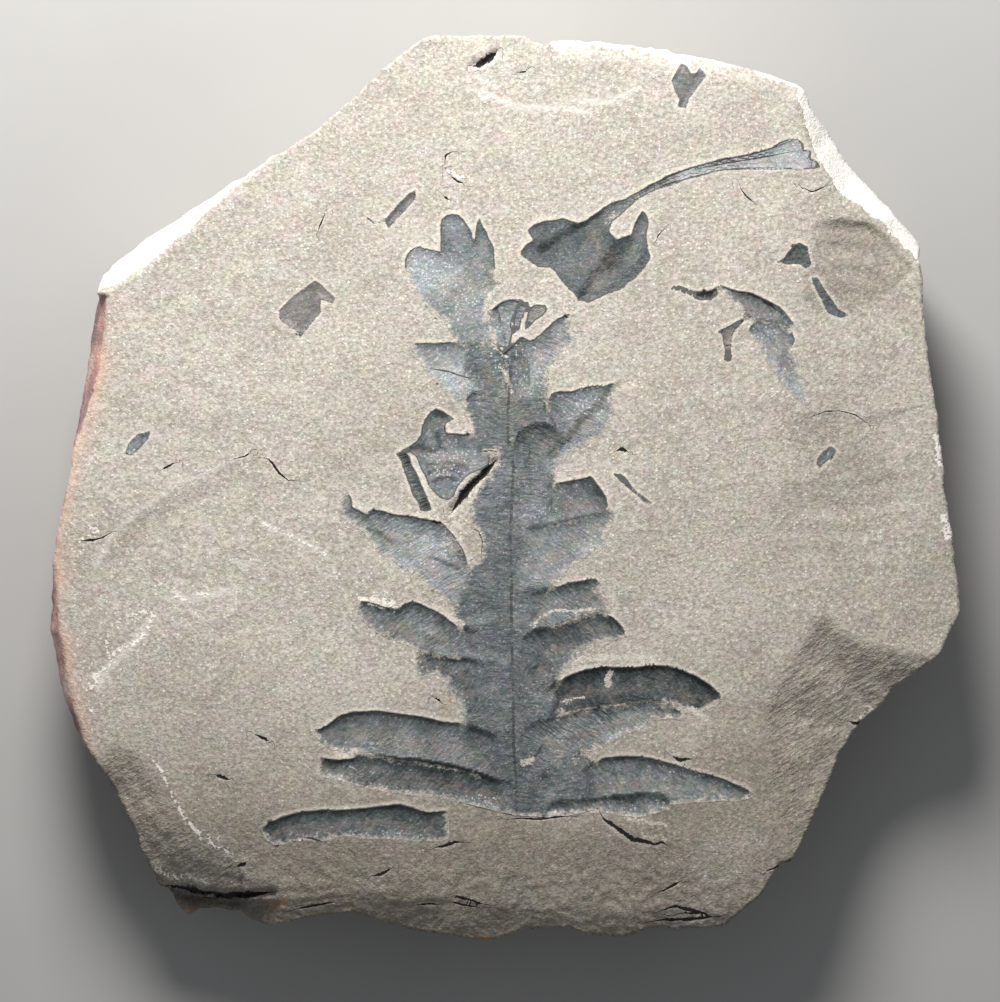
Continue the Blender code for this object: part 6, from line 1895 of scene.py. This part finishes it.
def stone_grain_group():
    """Siltstone: fine grains with tints of their own over soft patches, with pits and bright sparkles."""
    outputs = {"Colour": "Color", "Height": "Float"}
    tree, given, out = new_group("siltstone grain", {"Position": "Vector"}, outputs)
    place = given["Position"]
    patch = noise(tree, place, 15.0, 3.0, 0.55)
    mottle = noise(tree, place, 3.0, 3.0, 0.6)
    grain = noise(tree, place, 0.5, 2.0, 0.7)
    tone = weighted(tree, (grain, 0.66), (mottle, 0.14), (patch, 0.2))
    colour = shades(tree, spread(tree, tone, 0.33, 0.67), STONE_SHADES)
    colour = mixed(tree, 0.11, colour, tints(tree, place, 2.2, 1.0), "OVERLAY")
    ridge = calc(tree, "ABSOLUTE", calc(tree, "SUBTRACT", noise(tree, place, 1.3, 2.0, 0.6), 0.5))
    ripple = spread(tree, ridge, 0.05, 0.0)
    colour = mixed(tree, calc(tree, "MULTIPLY", ripple, 0.22), colour, STONE_DARK)
    sparkle = sparkle_mask(tree, place, 0.36, 0.14)
    colour = mixed(tree, calc(tree, "MULTIPLY", sparkle, 0.42), colour, STONE_SPARKLE)
    height = weighted(tree, (grain, 0.13), (mottle, 0.12), (ripple, -0.02), (sparkle, 0.015))
    tree.links.new(colour, out["Colour"])
    tree.links.new(height, out["Height"])
    return tree


def line_group():
    """A thin drawn line with ragged edges and a painted highlight on the lip on its right, from the distance
    in half widths.
    """
    inputs = {"Position": "Vector", "Side": "Float", "Near": "Float"}
    tree, given, out = new_group("ragged line", inputs, {"Mask": "Float", "LipHighlight": "Float"})
    ragged = calc(tree, "SUBTRACT", noise(tree, given["Position"], 0.4, 3.0, 0.7), 0.5)
    away = calc(tree, "ABSOLUTE", given["Side"])
    reach = weighted(tree, (away, 1.0), (ragged, 2.4))
    mask = calc(tree, "MULTIPLY", spread(tree, reach, 1.25, 0.75), given["Near"])
    below = weighted(tree, (given["Side"], -1.0), (ragged, 2.0))
    band = calc(tree, "MULTIPLY", spread(tree, below, 0.8, 1.5), spread(tree, below, 3.2, 1.8))
    tree.links.new(mask, out["Mask"])
    tree.links.new(calc(tree, "MULTIPLY", band, given["Near"]), out["LipHighlight"])
    return tree


def margin_group():
    """How far the film reaches at its margins, from the distance past them: a fine ragged edge where the
    margin is crisp, and a wide crumbly one where it is soft."""
    inputs = {"Position": "Vector", "Gap": "Float", "Crisp": "Float"}
    tree, given, out = new_group("film margin", inputs, {"Cover": "Float"})
    soft = calc(tree, "SUBTRACT", 1.0, given["Crisp"])
    fine = calc(tree, "SUBTRACT", noise(tree, given["Position"], 0.4, 2.0, 0.7), 0.5)
    wide = calc(tree, "SUBTRACT", noise(tree, given["Position"], 1.1, 3.0, 0.7), 0.5)
    edge = weighted(tree, (given["Gap"], 1.0), (fine, 0.3), (calc(tree, "MULTIPLY", wide, soft), 2.2),
                    (calc(tree, "MULTIPLY", fine, soft), 1.0), (soft, 0.2))
    sharp = spread(tree, edge, 0.05, -0.07)
    blurred = spread(tree, edge, 0.25, -0.6)
    cover = weighted(tree, (calc(tree, "MULTIPLY", sharp, given["Crisp"]), 1.0),
                     (calc(tree, "MULTIPLY", blurred, soft), 1.0))
    tree.links.new(cover, out["Cover"])
    return tree


def crumble_group():
    """Crumbly cover: specks that join up as the amount grows from 0 to 1."""
    inputs = {"Position": "Vector", "Amount": "Float", "Size": "Float"}
    tree, given, out = new_group("crumbly cover", inputs, {"Mask": "Float"})
    scale = calc(tree, "DIVIDE", 1.0, given["Size"])
    clouds = add(tree, "TexNoise", {"Vector": given["Position"], "Scale": scale, "Detail": 3.0,
                                    "Roughness": 0.7}).outputs[0]
    level = spread(tree, clouds, 0.25, 0.75)
    mask = spread(tree, calc(tree, "ADD", level, given["Amount"]), 0.9, 1.1)
    tree.links.new(mask, out["Mask"])
    return tree


def new_material(name, roughness, gloss):
    """An empty material with its surface shader and the roughness and gloss that it has all over."""
    material = bpy.data.materials.new(name)
    material.use_nodes = True
    tree = material.node_tree
    tree.nodes.clear()
    surface = add(tree, "BsdfPrincipled", {"Roughness": roughness, "Specular IOR Level": gloss})
    result = add(tree, "OutputMaterial")
    tree.links.new(surface.outputs[0], result.inputs["Surface"])
    return material, tree, surface


def raise_surface(tree, surface, height):
    """Gives a surface its fine relief, from a height in mm."""
    relief = add(tree, "Bump", {"Height": height, "Distance": MM})
    tree.links.new(relief.outputs[0], surface.inputs["Normal"])


def stone_material(stone_grain, line, margin, crumble):
    """The siltstone: pale breaks with a painted highlight, a stained rind on the left, cracks painted black
    as shade, pale dust.
    """
    material, tree, surface = new_material("siltstone", 0.9, 0.25)
    place = millimetres(tree)
    grain = filled_group(tree, stone_grain, {"Position": place})
    colour, height = grain["Colour"], grain["Height"]

    grey = filled_group(tree, crumble, {"Position": place, "Amount": attribute(tree, "grey"), "Size": 1.6})
    colour = mixed(tree, calc(tree, "MULTIPLY", grey["Mask"], 0.6), colour, STONE_GREY)
    side = attribute(tree, "side")
    layers = add(tree, "VectorMath", {0: place, 1: (0.25, 0.25, 2.2)}, operation="MULTIPLY").outputs[0]
    beds = noise(tree, layers, 2.4, 4.0, 0.6)
    bed_tone = shades(tree, spread(tree, beds, 0.3, 0.7), SIDE_SHADES)
    colour = mixed(tree, calc(tree, "MULTIPLY", side, 0.75), colour, bed_tone, "MULTIPLY")
    # Painted highlight on the pale broken bevels that face the lamp.
    pale_break_highlight = filled_group(tree, crumble, {"Position": place, "Amount": attribute(tree, "pale_break_highlight"), "Size": 1.4})
    colour = mixed(tree, calc(tree, "MULTIPLY", pale_break_highlight["Mask"], 0.8), colour, STONE_PALE_BREAK_HIGHLIGHT)

    facet = attribute(tree, "facet")
    turned = add(tree, "VectorRotate", {"Vector": place, "Angle": FACET_TURN}, rotation_type="Z_AXIS")
    drawn_out = add(tree, "VectorMath", {0: turned.outputs[0], 1: (0.45, 1.6, 1.0)}, operation="MULTIPLY")
    ridges = noise(tree, drawn_out.outputs[0], 0.9, 3.0, 0.6)
    # Painted shade: the face's colour darkens where the lamp's light falls off.
    colour = mixed(tree, attribute(tree, "painted_shade"), colour, STONE_PAINTED_SHADE, "MULTIPLY")
    # Painted shade on the lower facets, which face away from the lamp, darker still between their ridges.
    ridge_shade = calc(tree, "MULTIPLY", spread(tree, ridges, 0.6, 0.35), 0.2)
    colour = mixed(tree, calc(tree, "MULTIPLY", ridge_shade, facet), colour, STONE_DARK)
    colour = mixed(tree, facet, colour, FACET_PAINTED_SHADE, "MULTIPLY")
    colour = mixed(tree, calc(tree, "MULTIPLY", attribute(tree, "rind_stain"), 0.6), colour, RIND_STAIN)
    rind = attribute(tree, "rind")
    stain = noise(tree, place, 4.5, 3.0, 0.6)
    rind_tone = shades(tree, spread(tree, stain, 0.3, 0.7), RIND_SHADES)
    rind_cover = filled_group(tree, crumble, {"Position": place, "Amount": rind, "Size": 1.1})
    colour = mixed(tree, calc(tree, "MULTIPLY", rind_cover["Mask"], 0.7), colour, rind_tone)
    rust = filled_group(tree, crumble, {"Position": place, "Amount": attribute(tree, "rust"), "Size": 0.7})
    colour = mixed(tree, calc(tree, "MULTIPLY", rust["Mask"], 0.6), colour, RUST)

    colour = mixed(tree, calc(tree, "MULTIPLY", attribute(tree, "pale"), 0.3), colour, DUST_AND_LIP_HIGHLIGHT)
    dust = calc(tree, "MULTIPLY", attribute(tree, "powder"), 0.75)
    powder = filled_group(tree, crumble, {"Position": place, "Amount": dust, "Size": 0.5})
    colour = mixed(tree, calc(tree, "MULTIPLY", powder["Mask"], 0.6), colour, DUST_AND_LIP_HIGHLIGHT)
    chips = calc(tree, "MULTIPLY", attribute(tree, "chip"), 0.78)
    chip = filled_group(tree, crumble, {"Position": place, "Amount": chips, "Size": 0.4})
    colour = mixed(tree, calc(tree, "MULTIPLY", chip["Mask"], 0.45), colour, CHIP_CREAM)

    gap, crisp = attribute(tree, "film_gap"), attribute(tree, "crisp_margin")
    rim = calc(tree, "MULTIPLY", spread(tree, gap, 0.6, 0.1), calc(tree, "MULTIPLY", crisp, 0.35))
    colour = mixed(tree, rim, colour, STONE_CREAM)
    edge = filled_group(tree, margin, {"Position": place, "Gap": gap, "Crisp": crisp})
    colour = mixed(tree, edge["Cover"], colour, FILM_SMUDGE)
    sides = {"Position": place, "Side": attribute(tree, "crack_side"), "Near": attribute(tree, "crack_near")}
    drawn = filled_group(tree, line, sides)
    crack = drawn["Mask"]
    # Painted highlight on each crack's lower lip, which faces the lamp.
    colour = mixed(tree, calc(tree, "MULTIPLY", drawn["LipHighlight"], 0.22), colour, DUST_AND_LIP_HIGHLIGHT)
    # Painted shade: each crack's gap is painted black.
    colour = mixed(tree, crack, colour, CRACK_SHADE_AND_RIB_BLACK)
    height = weighted(tree, (height, 1.0), (crack, -0.25), (powder["Mask"], 0.03), (pale_break_highlight["Mask"], 0.05),
                      (calc(tree, "MULTIPLY", ridges, facet), 0.25))
    tree.links.new(colour, surface.inputs["Base Color"])
    raise_surface(tree, surface, height)
    return material


def film_material(stone_grain, line, margin, crumble):
    """The carbon film: near black under its crisp margins, greyer and silvery across, with fine veins, and
    worn through to the stone in places."""
    material, tree, surface = new_material("carbon film", 0.5, 0.35)
    place = millimetres(tree)
    stone = filled_group(tree, stone_grain, {"Position": place})
    flat_place = add(tree, "SeparateXYZ", {0: place}).outputs
    vein = attribute(tree, "vein")
    streak_place = add(tree, "CombineXYZ", {"X": calc(tree, "DIVIDE", vein, 0.5),
                                            "Y": calc(tree, "DIVIDE", flat_place["X"], 1.6),
                                            "Z": calc(tree, "DIVIDE", flat_place["Y"], 1.6)}).outputs[0]
    streaks = calc(tree, "SUBTRACT", noise(tree, streak_place, 1.0, 2.0, 0.55), 0.5)
    streaks = calc(tree, "MULTIPLY", streaks, attribute(tree, "streak"))
    grain = noise(tree, place, 0.5, 3.0, 0.75)
    patch = noise(tree, place, 3.2, 3.0, 0.6)
    shade = attribute(tree, "shade")
    dark = attribute(tree, "dark")
    silver = attribute(tree, "silver")
    # The folds darken the tone; along the stalked leaf's edge this is painted shadow.
    tone = weighted(tree, (shade, 1.0), (streaks, 0.5), (grain, 0.7), (patch, 0.65), (dark, -0.22),
                    (silver, 0.14), (attribute(tree, "fold"), -0.3))
    tone = calc(tree, "SUBTRACT", tone, 0.65, clamp=True)
    colour = shades(tree, tone, FILM_SHADES)
    warm = weighted(tree, (noise(tree, place, 1.3, 3.0, 0.7), 1.0), (attribute(tree, "brown"), 0.4))
    warm = calc(tree, "MULTIPLY", spread(tree, warm, 0.5, 0.85), 0.6)
    colour = mixed(tree, warm, colour, mixed(tree, tone, FILM_BROWN, FILM_TAN))

    colour = mixed(tree, 0.15, colour, tints(tree, place, 1.6, 1.4), "OVERLAY")
    net = add(tree, "TexVoronoi", {"Vector": place, "Scale": 1.0 / SPECK_SIZE}).outputs
    random = add(tree, "SeparateColor", {"Color": net["Color"]}).outputs
    bright = weighted(tree, (random[0], 1.0), (silver, 0.26), (tone, 0.34))
    specks = calc(tree, "MULTIPLY", spread(tree, bright, 1.0, 1.35), spread(tree, net["Distance"], 0.7, 0.2))
    colour = mixed(tree, calc(tree, "MULTIPLY", specks, 0.75), colour, FILM_SPARKLE)

    edge = filled_group(tree, margin, {"Position": place, "Gap": attribute(tree, "film_gap"),
                                       "Crisp": attribute(tree, "crisp_margin")})
    colour = mixed(tree, edge["Cover"], stone["Colour"], colour)
    thin = calc(tree, "SUBTRACT", 1.0, attribute(tree, "carbon"))
    bare = calc(tree, "MAXIMUM", attribute(tree, "bare"), calc(tree, "MULTIPLY", thin, 1.1))
    bare = calc(tree, "MULTIPLY", bare, 0.8)
    worn = filled_group(tree, crumble, {"Position": place, "Amount": bare, "Size": 0.45})["Mask"]
    colour = mixed(tree, calc(tree, "MULTIPLY", worn, 0.65), colour, stone["Colour"])
    chips = calc(tree, "MULTIPLY", attribute(tree, "chip"), 0.78)
    chip = filled_group(tree, crumble, {"Position": place, "Amount": chips, "Size": 0.4})["Mask"]
    pale = mixed(tree, 0.4, stone["Colour"], CHIP_CREAM)
    colour = mixed(tree, calc(tree, "MULTIPLY", chip, 0.85), colour, pale)

    sides = {"Position": place, "Side": attribute(tree, "crack_side"), "Near": attribute(tree, "crack_near")}
    crack = filled_group(tree, line, sides)["Mask"]
    rachis = filled_group(tree, line, {
        "Position": place, "Side": calc(tree, "DIVIDE", attribute(tree, "rachis_side"), 0.16),
        "Near": calc(tree, "MULTIPLY", spread(tree, patch, 0.35, 0.6), 0.75)})["Mask"]
    # Painted shade in the cracks' gaps, together with the leaves' own dark ribs and rachis, painted near
    # black.
    lines = calc(tree, "MAXIMUM", crack, rachis)
    colour = mixed(tree, calc(tree, "MULTIPLY", lines, 0.85), colour, CRACK_SHADE_AND_RIB_BLACK)

    height = weighted(tree, (stone["Height"], 0.8), (streaks, 0.13), (worn, 0.04), (crack, -0.15),
                      (rachis, -0.05))
    tree.links.new(colour, surface.inputs["Base Color"])
    rough = weighted(tree, (worn, 0.3), (grain, 0.2))
    tree.links.new(calc(tree, "ADD", rough, 0.4, clamp=True), surface.inputs["Roughness"])
    raise_surface(tree, surface, height)
    return material


def floor_material():
    """Plain pale floor with a very faint unevenness."""
    material, tree, surface = new_material("pale floor", 0.85, 0.2)
    clouds = noise(tree, millimetres(tree), 40.0, 2.0, 0.5)
    tree.links.new(shades(tree, clouds, FLOOR_SHADES), surface.inputs["Base Color"])
    return material


def add_camera():
    """Looks straight down on the leaf face from the photograph's place, with the frond's tip upwards."""
    camera = bpy.data.cameras.new("camera")
    camera.sensor_fit = "HORIZONTAL"
    camera.sensor_width = SENSOR_WIDTH
    camera.lens = SENSOR_WIDTH * CAMERA_DISTANCE / VIEW_WIDTH
    holder = bpy.data.objects.new("camera", camera)
    height = FACE_HEIGHT + CAMERA_DISTANCE
    holder.location = (VIEW_CENTRE[0] * MM, VIEW_CENTRE[1] * MM, height * MM)
    bpy.context.scene.collection.objects.link(holder)
    bpy.context.scene.camera = holder


def add_light():
    """A soft lamp close beyond the slab's top edge, so the light falls off down the slab, and a pale fill."""
    lamp = bpy.data.lights.new("soft lamp", "AREA")
    lamp.shape = "DISK"
    lamp.size = LAMP_SIZE
    lamp.energy = LAMP_POWER
    lamp.color = LAMP_COLOUR
    holder = bpy.data.objects.new("soft lamp", lamp)
    place = np.array(LAMP_PLACE) * MM
    holder.location = place
    aim = np.array(LAMP_AIM) * MM - place
    flat = math.hypot(aim[0], aim[1])
    holder.rotation_euler = (math.atan2(flat, -aim[2]), 0.0, math.atan2(-aim[0], aim[1]))
    bpy.context.scene.collection.objects.link(holder)
    world = bpy.data.worlds.new("soft fill")
    world.use_nodes = True
    background = world.node_tree.nodes["Background"]
    background.inputs["Color"].default_value = FILL_COLOUR
    background.inputs["Strength"].default_value = FILL_STRENGTH
    bpy.context.scene.world = world


def add_floor():
    """The plain floor that the slab lies on."""
    half = 0.5 * FLOOR_WIDTH * MM
    mesh = bpy.data.meshes.new("floor")
    corners = [(-half, -half, 0), (half, -half, 0), (half, half, 0), (-half, half, 0)]
    mesh.from_pydata(corners, [], [(0, 1, 2, 3)])
    mesh.materials.append(floor_material())
    floor = bpy.data.objects.new("floor", mesh)
    bpy.context.scene.collection.objects.link(floor)


def main():
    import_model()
    bpy.context.scene.view_settings.view_transform = "Standard"
    add_camera()
    add_light()
    add_floor()
    groups = (stone_grain_group(), line_group(), margin_group(), crumble_group())
    add_slab(stone_material(*groups))
    film = film_material(*groups)
    for node, source in FILMS.items():
        add_film(node, source, film)


main()
